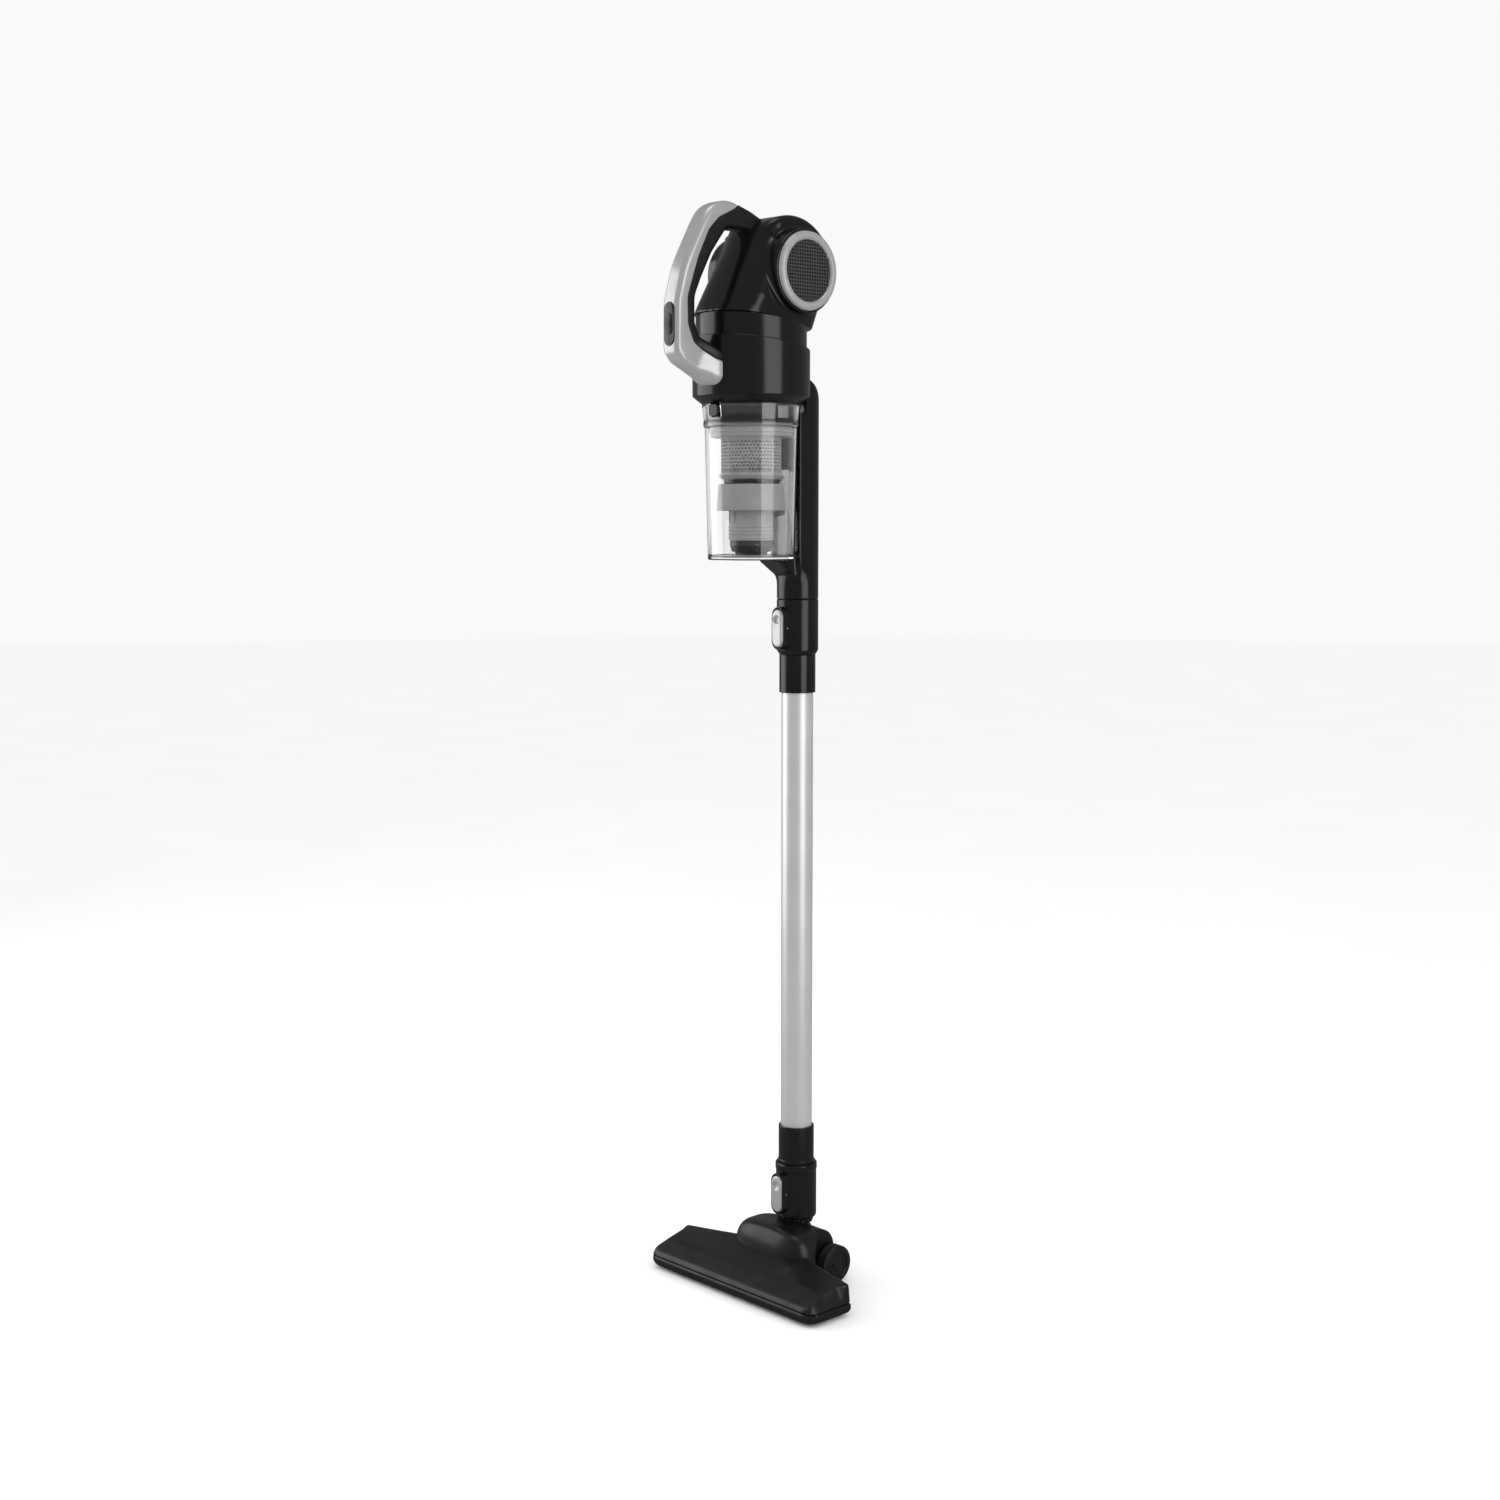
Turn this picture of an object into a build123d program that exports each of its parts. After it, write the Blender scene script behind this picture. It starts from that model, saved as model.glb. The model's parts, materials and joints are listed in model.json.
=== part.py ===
from build123d import *
import math
import os

# Cordless stick vacuum: passive floor head, tilting and twisting neck, aluminium wand, and a
# handheld unit with a clear cyclone cup, a leaning motor housing and a loop handle.
# Millimetres. +Z up, -Y is the front (handle and front edge of the head), +X is the user's left
# hand side when standing behind it. The origin is on the floor, in the middle of the footprint.

# Driving dimensions: whole object
BODY_Y = 5.25                  # axis of the cup and collar
WAND_Y = BODY_Y + 63.5         # axis of the wand, neck and spine nozzle
BODY = Pos(0, BODY_Y, 0)

# Clearances and walls
WALL = 2.4                     # moulded wall
GAP = 0.3                      # between pieces that move past each other
FIT = 0.08                     # radial clearance of a shaft or pin in its bore

# Floor head
HEAD_HALF_WIDTH = 118.0
HEAD_FRONT = WAND_Y - 95.0
HEAD_REAR = WAND_Y - 41.0
HEAD_CLEARANCE = 3.0           # sole above the floor
HEAD_SEAM = 13.5               # height of the seam between base and top cover
HEAD_TOP = 34.0
HEAD_EDGE = 20.5               # height of the front edge of the sloping top
CORNER = 8.0                   # cut corners of the head in plan
WHEEL_R = 19.5
WHEEL_Y = WAND_Y + 12.5
WHEEL_X0 = 36.0
WHEEL_X1 = 49.0
TYRE = 3.0
ROLLER_R = 6.0
ROLLER_X = 70.0
ROLLER_Y = HEAD_FRONT + 11.3
ROLLER_HALF = 6.0              # half length of a roller
ROLLER_PIN_R = 1.5
AXLE_R = 3.0
BUMPER_WALL = 3.2              # bumper band round the base
SLOT_HALF = 92.0               # half length of the suction slot
SLOT_Y = (HEAD_FRONT + 20.0, HEAD_FRONT + 36.0)
BRISTLE_HALF = 90.0
BRISTLE_THICK = 1.6
SCREW_X = (52.0, 106.0)
TILT_Z = 34.0                  # tilt axis of the neck
BARREL_R = 21.5
BARREL_HALF = 25.0
TRUNNION_R = 8.0               # stub shafts at the ends of the barrel
TRUNNION = 4.5                 # their length
ARM_X1 = 33.5                  # outer face of the fork arms

# Sockets, spigots and wand
SOCKET_R = 20.9
SOCKET_BORE = 17.3
SPIGOT_R = 17.2
SPIGOT_BORE = 14.6
TUBE_R = 16.0
TUBE_WALL = 1.0
COLLAR_R = 18.2
LOWER_SOCKET_Z = (64.0, 121.0)
LOWER_COLLAR_TOP = 160.0
UPPER_COLLAR_BOTTOM = 606.5
UPPER_SOCKET_Z = (645.0, 700.0)
SPIGOT_DEPTH = 44.0

# Latches
LATCH_WIDTH = 18.0
LATCH_HEIGHT = 43.0
LATCH_FRONT = 27.5             # front face of the surround, from the wand axis
LATCH_FLOOR = 19.2             # pocket floor, from the wand axis
LATCH_PIN_R = 1.2
LATCH_PIN_Y = LATCH_FLOOR + 3.2     # pin in front of the wand axis
BUTTON_BACK = LATCH_FLOOR + 2.6     # back of the button, from the wand axis
SPRING_RISE = 10.5             # spring above the pin

# Dust cup and cyclone
CUP_TOP_R = 48.0
CUP_BOTTOM_R = 43.5
CUP_Z = (740.0, 890.0)
CUP_WALL = 2.2
CUP_LEDGE_Z = 869.0
CUP_LEDGE = 1.4                # how much the cup steps in below the ledge
RING_R = 44.8                  # outside of the ring that plugs into the cup's mouth
PORT_Z = (832.0, 856.0)        # inlet port through the cup wall
PORT_HALF = 12.0
FLAP_Y = BODY_Y + 38.2         # front face of the inlet flap
BUTTON_Y = BODY_Y - 41.0       # back of the cup release button
CUP_BUTTON_TRAVEL = 3.0
RING_Z = 874.0                 # bottom of that ring, on the seal
SEAL_Z = 871.6
PLATE_R = 41.0
PLATE_STEP_Z = 862.0
CAGE_R = 29.5
CAGE_Z = (823.0, 859.0)
LIP_Z = CAGE_Z[0] - 4.4        # bottom of the flared lip under the cage
SKIRT_Z = (788.0, 814.0)
SHROUD_R = 21.5
CAP_Z = (744.0, 759.0)
SPINE_TOP = 924.0
SPINE_HALF = 20.8
SPINE_FRONT = WAND_Y - 17.5    # flat front face of the spine
SPINE_BOTTOM = 700.3

# Motor unit
COLLAR_RADIUS = 57.2
COLLAR_Z = (897.6, 955.0)
COLLAR_REAR = 940.0
BAND_R = 54.0
BAND_TOP = 977.0
LEAN = 27.0                    # lean of the motor housing towards the rear, degrees
HOUSING_R = 56.5
DRUM_Y = BODY_Y + 27.0
DRUM_Z = 1016.0
DRUM_R = 54.5
DRUM_HALF = 49.0
DRUM_STRAIGHT = 28.0           # half length of the drum's straight middle
VENT_R = 37.7
VENT_GRILLE_R = 29.7
VENT_X = 54.0
MOTOR_R = 31.0
FAN_Z = 906.0                  # bottom of the fan's case
FAN_CASE_R = 38.0
MOTOR_TOP = 968.0
JACK_R = 5.0
JACK_DEPTH = 12.0
JACK_Z = 951.0
JACK_Y = BODY_Y + BAND_R - 5.6
CELL_R = 9.15
CELL_LENGTH = 65.0

# Handle
GRIP_HALF = 11.5
HANDLE_FRONT = 106.0           # front of the handle, from the body axis
SWITCH_Z = 961.0


def rod(radius, z0, z1, x=0.0, y=0.0):
    """Upright cylinder."""
    return Pos(x, y, (z0 + z1) / 2) * Cylinder(radius, z1 - z0)


def pipe(outer, inner, z0, z1, x=0.0, y=0.0):
    """Upright tube."""
    return rod(outer, z0, z1, x, y) - rod(inner, z0 - 1, z1 + 1, x, y)


def cone(bottom, top, z0, z1, y=0.0):
    """Upright cone or frustum."""
    return Pos(0, y, (z0 + z1) / 2) * Cone(bottom, top, z1 - z0)


def cross_rod(radius, x0, x1, y, z):
    """Cylinder lying along X."""
    return Pos((x0 + x1) / 2, y, z) * Rot(0, 90, 0) * Cylinder(radius, x1 - x0)


def block(x0, x1, y0, y1, z0, z1):
    """Box between two corners."""
    return Pos((x0 + x1) / 2, (y0 + y1) / 2, (z0 + z1) / 2) * Box(x1 - x0, y1 - y0, z1 - z0)


def side_outline(points, half_width):
    """Prism whose outline is drawn in the YZ plane, centred on x = 0."""
    outline = Polyline(*points, close=True)
    return extrude(Plane.YZ * make_face(outline), amount=half_width, both=True)


def both_sides(shape):
    """A shape and its mirror image across the YZ plane."""
    return [shape, mirror(shape, about=Plane.YZ)]


def save(name, *solids):
    """Write one node, as one solid or as a group of separate solids."""
    flat = []
    for shape in solids:
        flat.extend(shape.solids())
    body = flat[0] if len(flat) == 1 else Compound(children=flat)
    body.label = name
    export_step(body, f"parts/{name}.step")


# ---------------------------------------------------------------- floor head

def head_plan(inset=0.0):
    """Outline of the head seen from above."""
    side = HEAD_HALF_WIDTH - inset
    front = HEAD_FRONT + inset
    rear = HEAD_REAR - inset
    cut = CORNER - inset * math.tan(math.radians(22.5))
    return Polyline(
        (-side, rear), (-side, front + cut), (-side + cut, front),
        (side - cut, front), (side, front + cut), (side, rear), close=True)


def head_prism(inset, z0, z1):
    return Pos(0, 0, z0) * extrude(make_face(head_plan(inset)), amount=z1 - z0)


def hood_section(inset):
    """Side section of the top cover: front face, sloping top, upper face and rear face."""
    return side_outline(
        [(HEAD_FRONT + inset, HEAD_SEAM), (HEAD_FRONT + 2.5 + inset, HEAD_EDGE - inset / 2),
         (HEAD_FRONT + 19, HEAD_TOP - 4.5 - inset), (HEAD_REAR - 3 - inset, HEAD_TOP - inset),
         (HEAD_REAR - inset, HEAD_TOP - 5 - inset), (HEAD_REAR - inset, HEAD_SEAM)],
        HEAD_HALF_WIDTH)


def hood_block(inset):
    """Solid shape of the top cover, with its ends sloping down to the sides."""
    body = hood_section(inset) & head_prism(inset, HEAD_SEAM, HEAD_TOP + 1)
    for side in (-1, 1):
        wedge = Pos(side * (HEAD_HALF_WIDTH - inset), 0, HEAD_EDGE) * Rot(0, side * 45, 0) \
            * Pos(0, 0, 30) * Box(120, 140, 60)
        body -= wedge
    return body


def barrel_room(extra=0.0):
    """Space swept by the tilting barrel and the neck above it."""
    room = cross_rod(BARREL_R + 0.5 + extra, -BARREL_HALF - 0.5, BARREL_HALF + 0.5, WAND_Y, TILT_Z)
    neck = SPIGOT_R + 2.0 + extra
    return room + rod(neck, TILT_Z, HEAD_TOP + 60, y=WAND_Y)


def make_head_cover():
    cover = hood_block(0.0) - hood_block(WALL)
    cover -= block(-38, 38, HEAD_REAR - 14, HEAD_REAR + 5, HEAD_SEAM - 1, HEAD_TOP + 5)
    cover = max(cover.solids(), key=lambda piece: piece.volume)
    save("head_cover", cover)


def slot_cut():
    """Suction slot through the sole."""
    return block(-SLOT_HALF, SLOT_HALF, *SLOT_Y, 0, HEAD_SEAM)


def make_head_base():
    tray = head_prism(BUMPER_WALL, HEAD_CLEARANCE, HEAD_SEAM)
    tray -= head_prism(BUMPER_WALL + WALL, HEAD_CLEARANCE + WALL, HEAD_SEAM + 1)
    tray += block(-ARM_X1, ARM_X1, HEAD_REAR - 14, WAND_Y + 4, HEAD_CLEARANCE + 4, HEAD_CLEARANCE + 8)
    tray -= slot_cut()
    arms = []
    for side in (-1, 1):
        x0 = BARREL_HALF + 0.8
        arm = cross_rod(BARREL_R, x0, ARM_X1, WAND_Y, TILT_Z)
        arm += cross_rod(10, x0, ARM_X1, WHEEL_Y, WHEEL_R)
        arm += block(x0, ARM_X1, HEAD_REAR - 14, WAND_Y, HEAD_CLEARANCE + 4, HEAD_SEAM + 10)
        arm += block(x0, ARM_X1, WAND_Y - 23, WAND_Y, HEAD_CLEARANCE + 4, TILT_Z)
        arm -= cross_rod(TRUNNION_R + FIT, x0 - 1, x0 + TRUNNION - GAP, WAND_Y, TILT_Z)
        arm -= cross_rod(AXLE_R, x0 - 1, ARM_X1 + 1, WHEEL_Y, WHEEL_R)
        arm = arm if side > 0 else mirror(arm, about=Plane.YZ)
        arms.append(arm)
    base = tray + arms[0] + arms[1]
    base -= cross_rod(BARREL_R + 0.6, -BARREL_HALF - 0.8, BARREL_HALF + 0.8, WAND_Y, TILT_Z)
    for side in (-1, 1):
        room = ROLLER_HALF + 0.5
        pocket = block(side * ROLLER_X - room, side * ROLLER_X + room,
                       HEAD_FRONT + 4.5, HEAD_FRONT + 18, 0, HEAD_SEAM - 1)
        cheeks = block(side * ROLLER_X - 9.5, side * ROLLER_X + 9.5, HEAD_FRONT + 6.2,
                       HEAD_FRONT + 18, HEAD_CLEARANCE, HEAD_SEAM - 2)
        base += cheeks
        base -= pocket
        base -= cross_rod(ROLLER_PIN_R + FIT, side * ROLLER_X - 8.5, side * ROLLER_X + 8.5,
                          ROLLER_Y, ROLLER_R)
    for x, y in screw_places():
        base += rod(4.0, HEAD_CLEARANCE, HEAD_SEAM, x, y)
        base -= rod(3.2, 0, HEAD_CLEARANCE + 3, x, y)
        base -= rod(1.5, 0, HEAD_SEAM + 1, x, y)
    for y in bristle_places():
        base -= block(-BRISTLE_HALF - 0.2, BRISTLE_HALF + 0.2, y - 0.1, y + BRISTLE_THICK + 0.1,
                      0, HEAD_CLEARANCE + WALL)
    save("head_base", base)


def bristle_places():
    """Front faces of the two bristle strips, one on each side of the suction slot."""
    return [SLOT_Y[0] - 2.4, SLOT_Y[1] + 0.8]


def screw_places():
    return [(side * x, HEAD_REAR - 10) for side in (-1, 1) for x in SCREW_X]


def make_head_screws():
    screws = []
    for x, y in screw_places():
        screw = rod(3.0, HEAD_CLEARANCE + 0.8, HEAD_CLEARANCE + 3, x, y)
        screw += rod(1.5, HEAD_CLEARANCE + 3, HEAD_SEAM - 1, x, y)
        screw -= block(x - 2, x + 2, y - 0.4, y + 0.4, 0, HEAD_CLEARANCE + 1.8)
        screw -= block(x - 0.4, x + 0.4, y - 2, y + 2, 0, HEAD_CLEARANCE + 1.8)
        screws.append(screw)
    save("head_screws", *screws)


def make_head_bumper():
    band = head_prism(0.0, HEAD_CLEARANCE + 0.5, HEAD_SEAM - 0.4) - head_prism(BUMPER_WALL, 0, 40)
    rear = block(-150, 150, HEAD_REAR - 12, HEAD_REAR + 10, 0, 40)
    band = band - rear
    save("head_bumper", band)


def hump(inset):
    """Rounded hump over the duct, in front of the neck."""
    shape = scale(Sphere(1), by=(48 - inset, 28 - inset, 38 - inset))
    return Pos(0, WAND_Y - 24, 24) * shape


def make_head_dome():
    dome = hump(0.0) - hump(WALL)
    dome -= block(-60, 60, HEAD_FRONT, WAND_Y + 40, -20, HEAD_SEAM + 12)
    dome -= hood_block(-0.05)
    dome -= barrel_room(0.3)
    dome -= block(BARREL_HALF, 60, WAND_Y - 24, WAND_Y + 30, 0, 60)
    dome -= block(-60, -BARREL_HALF, WAND_Y - 24, WAND_Y + 30, 0, 60)
    dome = max(dome.solids(), key=lambda piece: piece.volume)
    save("head_dome", dome)


def make_bristles():
    strips = []
    for y in bristle_places():
        strips.append(block(-BRISTLE_HALF, BRISTLE_HALF, y, y + BRISTLE_THICK, 0.2, HEAD_CLEARANCE + WALL))
    save("bristle_strips", *strips)


def make_wheels():
    for name, side in (("left", -1), ("right", 1)):
        hub = cross_rod(WHEEL_R - TYRE, WHEEL_X0, WHEEL_X1, WHEEL_Y, WHEEL_R)
        hub -= cross_rod(WHEEL_R - TYRE - 3, WHEEL_X1 - 1.2, WHEEL_X1 + 1, WHEEL_Y, WHEEL_R)
        hub += cross_rod(5, WHEEL_X1 - 2, WHEEL_X1 - 0.4, WHEEL_Y, WHEEL_R)
        hub -= cross_rod(AXLE_R + FIT, WHEEL_X0 - 1, WHEEL_X1 - 4, WHEEL_Y, WHEEL_R)
        tyre = cross_rod(WHEEL_R, WHEEL_X0 + 1, WHEEL_X1 - 0.6, WHEEL_Y, WHEEL_R)
        tyre = fillet(tyre.edges().filter_by(GeomType.CIRCLE), 1.5)
        tyre -= cross_rod(WHEEL_R - TYRE, WHEEL_X0 - 1, WHEEL_X1 + 1, WHEEL_Y, WHEEL_R)
        if side < 0:
            hub = mirror(hub, about=Plane.YZ)
            tyre = mirror(tyre, about=Plane.YZ)
        save(f"wheel_hub_{name}", hub)
        save(f"wheel_tyre_{name}", tyre)
    axle = cross_rod(AXLE_R, BARREL_HALF + 1.5, WHEEL_X1 - 4.5, WHEEL_Y, WHEEL_R)
    save("wheel_axles", *both_sides(axle))


def make_rollers():
    for name, side in (("left", -1), ("right", 1)):
        x = side * ROLLER_X
        roller = cross_rod(ROLLER_R, x - ROLLER_HALF, x + ROLLER_HALF, ROLLER_Y, ROLLER_R)
        roller += cross_rod(ROLLER_PIN_R, x - 8.2, x + 8.2, ROLLER_Y, ROLLER_R)
        save(f"front_roller_{name}", roller)


# ---------------------------------------------------------------- neck and sockets

def make_neck_elbow():
    barrel = cross_rod(BARREL_R, -BARREL_HALF, BARREL_HALF, WAND_Y, TILT_Z)
    barrel += cross_rod(TRUNNION_R, -BARREL_HALF - TRUNNION, BARREL_HALF + TRUNNION, WAND_Y, TILT_Z)
    barrel += rod(16.5, TILT_Z, LOWER_SOCKET_Z[0] - GAP, y=WAND_Y)
    barrel += rod(13.4, LOWER_SOCKET_Z[0] - 1, LOWER_SOCKET_Z[0] + 7.5, y=WAND_Y)
    barrel += rod(14.4, LOWER_SOCKET_Z[0] + 5.2, LOWER_SOCKET_Z[0] + 7.5, y=WAND_Y)
    barrel -= cross_rod(BARREL_R - WALL, -BARREL_HALF + WALL, BARREL_HALF - WALL, WAND_Y, TILT_Z)
    barrel -= rod(11.4, TILT_Z, LOWER_SOCKET_Z[1], y=WAND_Y)
    barrel -= block(-18, 18, WAND_Y - BARREL_R - 2, WAND_Y - 6, TILT_Z - 12, TILT_Z + 8)
    save("neck_elbow", barrel)


def latch_middle(socket):
    return (socket[0] + socket[1]) / 2 - 1.0


def stadium(width, height, y0, y1, z):
    """Upright rounded slab, thickness along Y, measured from the wand axis."""
    face = Plane.XZ * SlotCenterToCenter(height - width, width, rotation=90)
    slab = extrude(face, amount=y1 - y0, both=False)
    return Pos(0, WAND_Y + y1, z) * slab


def make_socket(name, socket, twist_neck):
    z0, z1 = socket
    z = latch_middle(socket)
    body = rod(SOCKET_R, z0, z1, y=WAND_Y)
    body = fillet(body.edges().filter_by(GeomType.CIRCLE), 0.8)
    body += stadium(LATCH_WIDTH, LATCH_HEIGHT, -LATCH_FRONT, -12, z)
    body -= rod(SOCKET_BORE, z1 - SPIGOT_DEPTH - 0.5, z1 + 1, y=WAND_Y)
    body -= stadium(LATCH_WIDTH - 3.0, LATCH_HEIGHT - 3.0, -LATCH_FRONT - 1, -LATCH_FLOOR, z)
    body -= cross_rod(LATCH_PIN_R, -8.6, 8.6, WAND_Y - LATCH_PIN_Y, z)
    if twist_neck:
        body -= rod(13.7, z0 - 1, z1 - 10, y=WAND_Y)
        body -= rod(14.7, z0 + 5.0, z0 + 7.8, y=WAND_Y)
    else:
        body -= rod(TUBE_R - TUBE_WALL, z0 - 1, z1 - 10, y=WAND_Y)
    save(name, body)


def make_latch(prefix, socket):
    z = latch_middle(socket)
    width = LATCH_WIDTH - 3.8
    height = LATCH_HEIGHT - 5.0
    front = LATCH_FRONT + 2.0
    button = stadium(width, height, -front, -BUTTON_BACK, z)
    button = fillet(button.faces().sort_by(Axis.Y)[0].edges(), 1.6)
    button -= Pos(0, WAND_Y - front - 9.0, z + height / 2 - 7.4) * Sphere(10.0)
    button -= cross_rod(LATCH_PIN_R + FIT, -9, 9, WAND_Y - LATCH_PIN_Y, z)
    button -= block(-20, 20, WAND_Y - LATCH_PIN_Y, WAND_Y - LATCH_FLOOR + 4, z - 0.9, z + 0.9)
    save(f"{prefix}_latch_button", button)
    pin = cross_rod(LATCH_PIN_R, -8.5, 8.5, WAND_Y - LATCH_PIN_Y, z)
    save(f"{prefix}_latch_pin", pin)
    spring = pipe_y(3.0, 2.2, -BUTTON_BACK, -LATCH_FLOOR, z + SPRING_RISE)
    save(f"{prefix}_latch_spring", spring)


def pipe_y(outer, inner, y0, y1, z):
    """Short tube along Y, measured from the wand axis."""
    middle = Pos(0, WAND_Y + (y0 + y1) / 2, z) * Rot(90, 0, 0)
    return middle * (Cylinder(outer, y1 - y0) - Cylinder(inner, y1 - y0 + 1))


def make_wand():
    spigot = rod(COLLAR_R, LOWER_SOCKET_Z[1] + 0.2, LOWER_COLLAR_TOP, y=WAND_Y)
    spigot = fillet(spigot.edges().filter_by(GeomType.CIRCLE), 0.8)
    spigot += rod(SPIGOT_R, LOWER_SOCKET_Z[1] - SPIGOT_DEPTH, LOWER_SOCKET_Z[1] + 1, y=WAND_Y)
    spigot -= rod(SPIGOT_BORE, 0, LOWER_COLLAR_TOP + 1, y=WAND_Y)
    spigot -= rod(TUBE_R, LOWER_COLLAR_TOP - 30, LOWER_COLLAR_TOP + 1, y=WAND_Y)
    save("wand_spigot", spigot)
    save("wand_tube", pipe(TUBE_R, TUBE_R - TUBE_WALL, LOWER_COLLAR_TOP - 30,
                           UPPER_COLLAR_BOTTOM + 30, y=WAND_Y))
    collar = rod(COLLAR_R, UPPER_COLLAR_BOTTOM, UPPER_SOCKET_Z[0] - 0.2, y=WAND_Y)
    collar = fillet(collar.edges().filter_by(GeomType.CIRCLE), 0.8)
    collar -= rod(SPIGOT_BORE, 0, UPPER_SOCKET_Z[0] + 1, y=WAND_Y)
    collar -= rod(TUBE_R, 0, UPPER_COLLAR_BOTTOM + 30, y=WAND_Y)
    save("wand_collar", collar)


# ---------------------------------------------------------------- dust cup and spine

def spine_plan(inset=0.0):
    """Plan of the spine: round at the rear about the wand axis, flat in front."""
    disc = Pos(0, WAND_Y) * Circle(SPINE_HALF - inset)
    flat = Pos(0, (WAND_Y + SPINE_FRONT) / 2 + inset / 2) * Rectangle(
        2 * (SPINE_HALF - inset), WAND_Y - SPINE_FRONT - inset)
    return disc + flat


def spine_block(inset, z0, z1):
    return Pos(0, 0, z0) * extrude(spine_plan(inset), amount=z1 - z0)


def make_spine():
    body = spine_block(0.0, 735, SPINE_TOP) + rod(SPINE_HALF, SPINE_BOTTOM, 740, y=WAND_Y)
    dome = cross_rod(45, -30, 30, WAND_Y - 24.2, SPINE_TOP - 45) + block(
        -30, 30, 0, WAND_Y + 30, SPINE_BOTTOM - 60, SPINE_TOP - 45)
    body &= dome
    lip = side_outline(
        [(WAND_Y, 700), (WAND_Y, CUP_Z[0] - 0.3), (WAND_Y - 52, CUP_Z[0] - 0.3),
         (WAND_Y - 52, CUP_Z[0] - 4.5), (WAND_Y - 19.5, 716)], 14)
    body += lip & rod(CUP_BOTTOM_R - 1, 690, 760, y=BODY_Y) + lip & spine_block(0.0, 700, 745)
    body -= cone(CUP_BOTTOM_R - 0.2, CUP_TOP_R + 0.2, CUP_Z[0] - 0.3, CUP_Z[1] - 6, y=BODY_Y)
    body -= rod(COLLAR_RADIUS + 0.4, 884, 960, y=BODY_Y)
    duct = spine_block(WALL, 720, 872) + rod(SPIGOT_BORE, 600, 730, y=WAND_Y)
    duct -= rod(CUP_TOP_R + 0.3 + WALL, 700, 960, y=BODY_Y)
    body -= duct
    body -= block(-PORT_HALF, PORT_HALF, 0, WAND_Y - 4, *PORT_Z)
    body += pipe(SPIGOT_R, SPIGOT_BORE, UPPER_SOCKET_Z[1] - SPIGOT_DEPTH, SPINE_BOTTOM + 1, y=WAND_Y)
    body = max(body.solids(), key=lambda piece: piece.volume)
    save("spine_duct", body)


def cup_radius(z):
    share = (z - CUP_Z[0]) / (CUP_Z[1] - CUP_Z[0])
    return CUP_BOTTOM_R + share * (CUP_TOP_R - CUP_BOTTOM_R)


def cup_inside(inset=0.0):
    """Space inside the dust cup, stepped out above the ledge."""
    bottom = CUP_BOTTOM_R - 0.5 - CUP_WALL - inset
    ledge = cup_radius(CUP_LEDGE_Z) - CUP_WALL - inset
    space = cone(bottom, ledge - CUP_LEDGE, CUP_Z[0] + 3, CUP_LEDGE_Z, y=BODY_Y)
    return space + cone(ledge, CUP_TOP_R - CUP_WALL - inset, CUP_LEDGE_Z, CUP_Z[1] + 0.01, y=BODY_Y)


def make_cup():
    ledge_r = cup_radius(CUP_LEDGE_Z)
    bottom_r = CUP_BOTTOM_R - 0.5
    outer = cone(bottom_r, ledge_r - CUP_LEDGE, CUP_Z[0], CUP_LEDGE_Z, y=BODY_Y)
    outer += cone(ledge_r, CUP_TOP_R, CUP_LEDGE_Z, CUP_Z[1], y=BODY_Y)
    cup = outer - cup_inside()
    cup -= block(-PORT_HALF, PORT_HALF, BODY_Y + 30, BODY_Y + 60, *PORT_Z)
    cup -= block(-6.5, 6.5, BODY_Y - 60, BODY_Y - 30, 877, CUP_Z[1] + 1)
    save("dust_cup", cup)


def make_inlet_flap():
    """Rubber flap hanging from a pin, in front of the port, and the frame that holds it."""
    low, high = PORT_Z
    pin_z = high + 1.6
    flap = block(-PORT_HALF - 0.6, PORT_HALF + 0.6, FLAP_Y, FLAP_Y + 1.4, low - 0.8, pin_z)
    flap += cross_rod(1.2, -PORT_HALF - 1.6, PORT_HALF + 1.6, FLAP_Y + 0.7, pin_z)
    save("inlet_flap", flap)
    frame = block(-16, 16, FLAP_Y - 0.8, FLAP_Y + 8, low - 3, high + 3) & cup_inside(0.1)
    frame -= block(-PORT_HALF - 0.9, PORT_HALF + 0.9, FLAP_Y - 1, FLAP_Y + 1.7, low - 1.4, high + 5)
    frame -= block(-PORT_HALF, PORT_HALF, FLAP_Y, FLAP_Y + 10, low, high)
    frame -= cross_rod(1.2 + FIT, -PORT_HALF - 1.8, PORT_HALF + 1.8, FLAP_Y + 0.7, pin_z)
    frame -= block(-PORT_HALF - 0.9, PORT_HALF + 0.9, FLAP_Y - 1, FLAP_Y + 2.3, high, high + 5)
    save("inlet_frame", *frame.solids())


# ---------------------------------------------------------------- cyclone and filter

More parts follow.
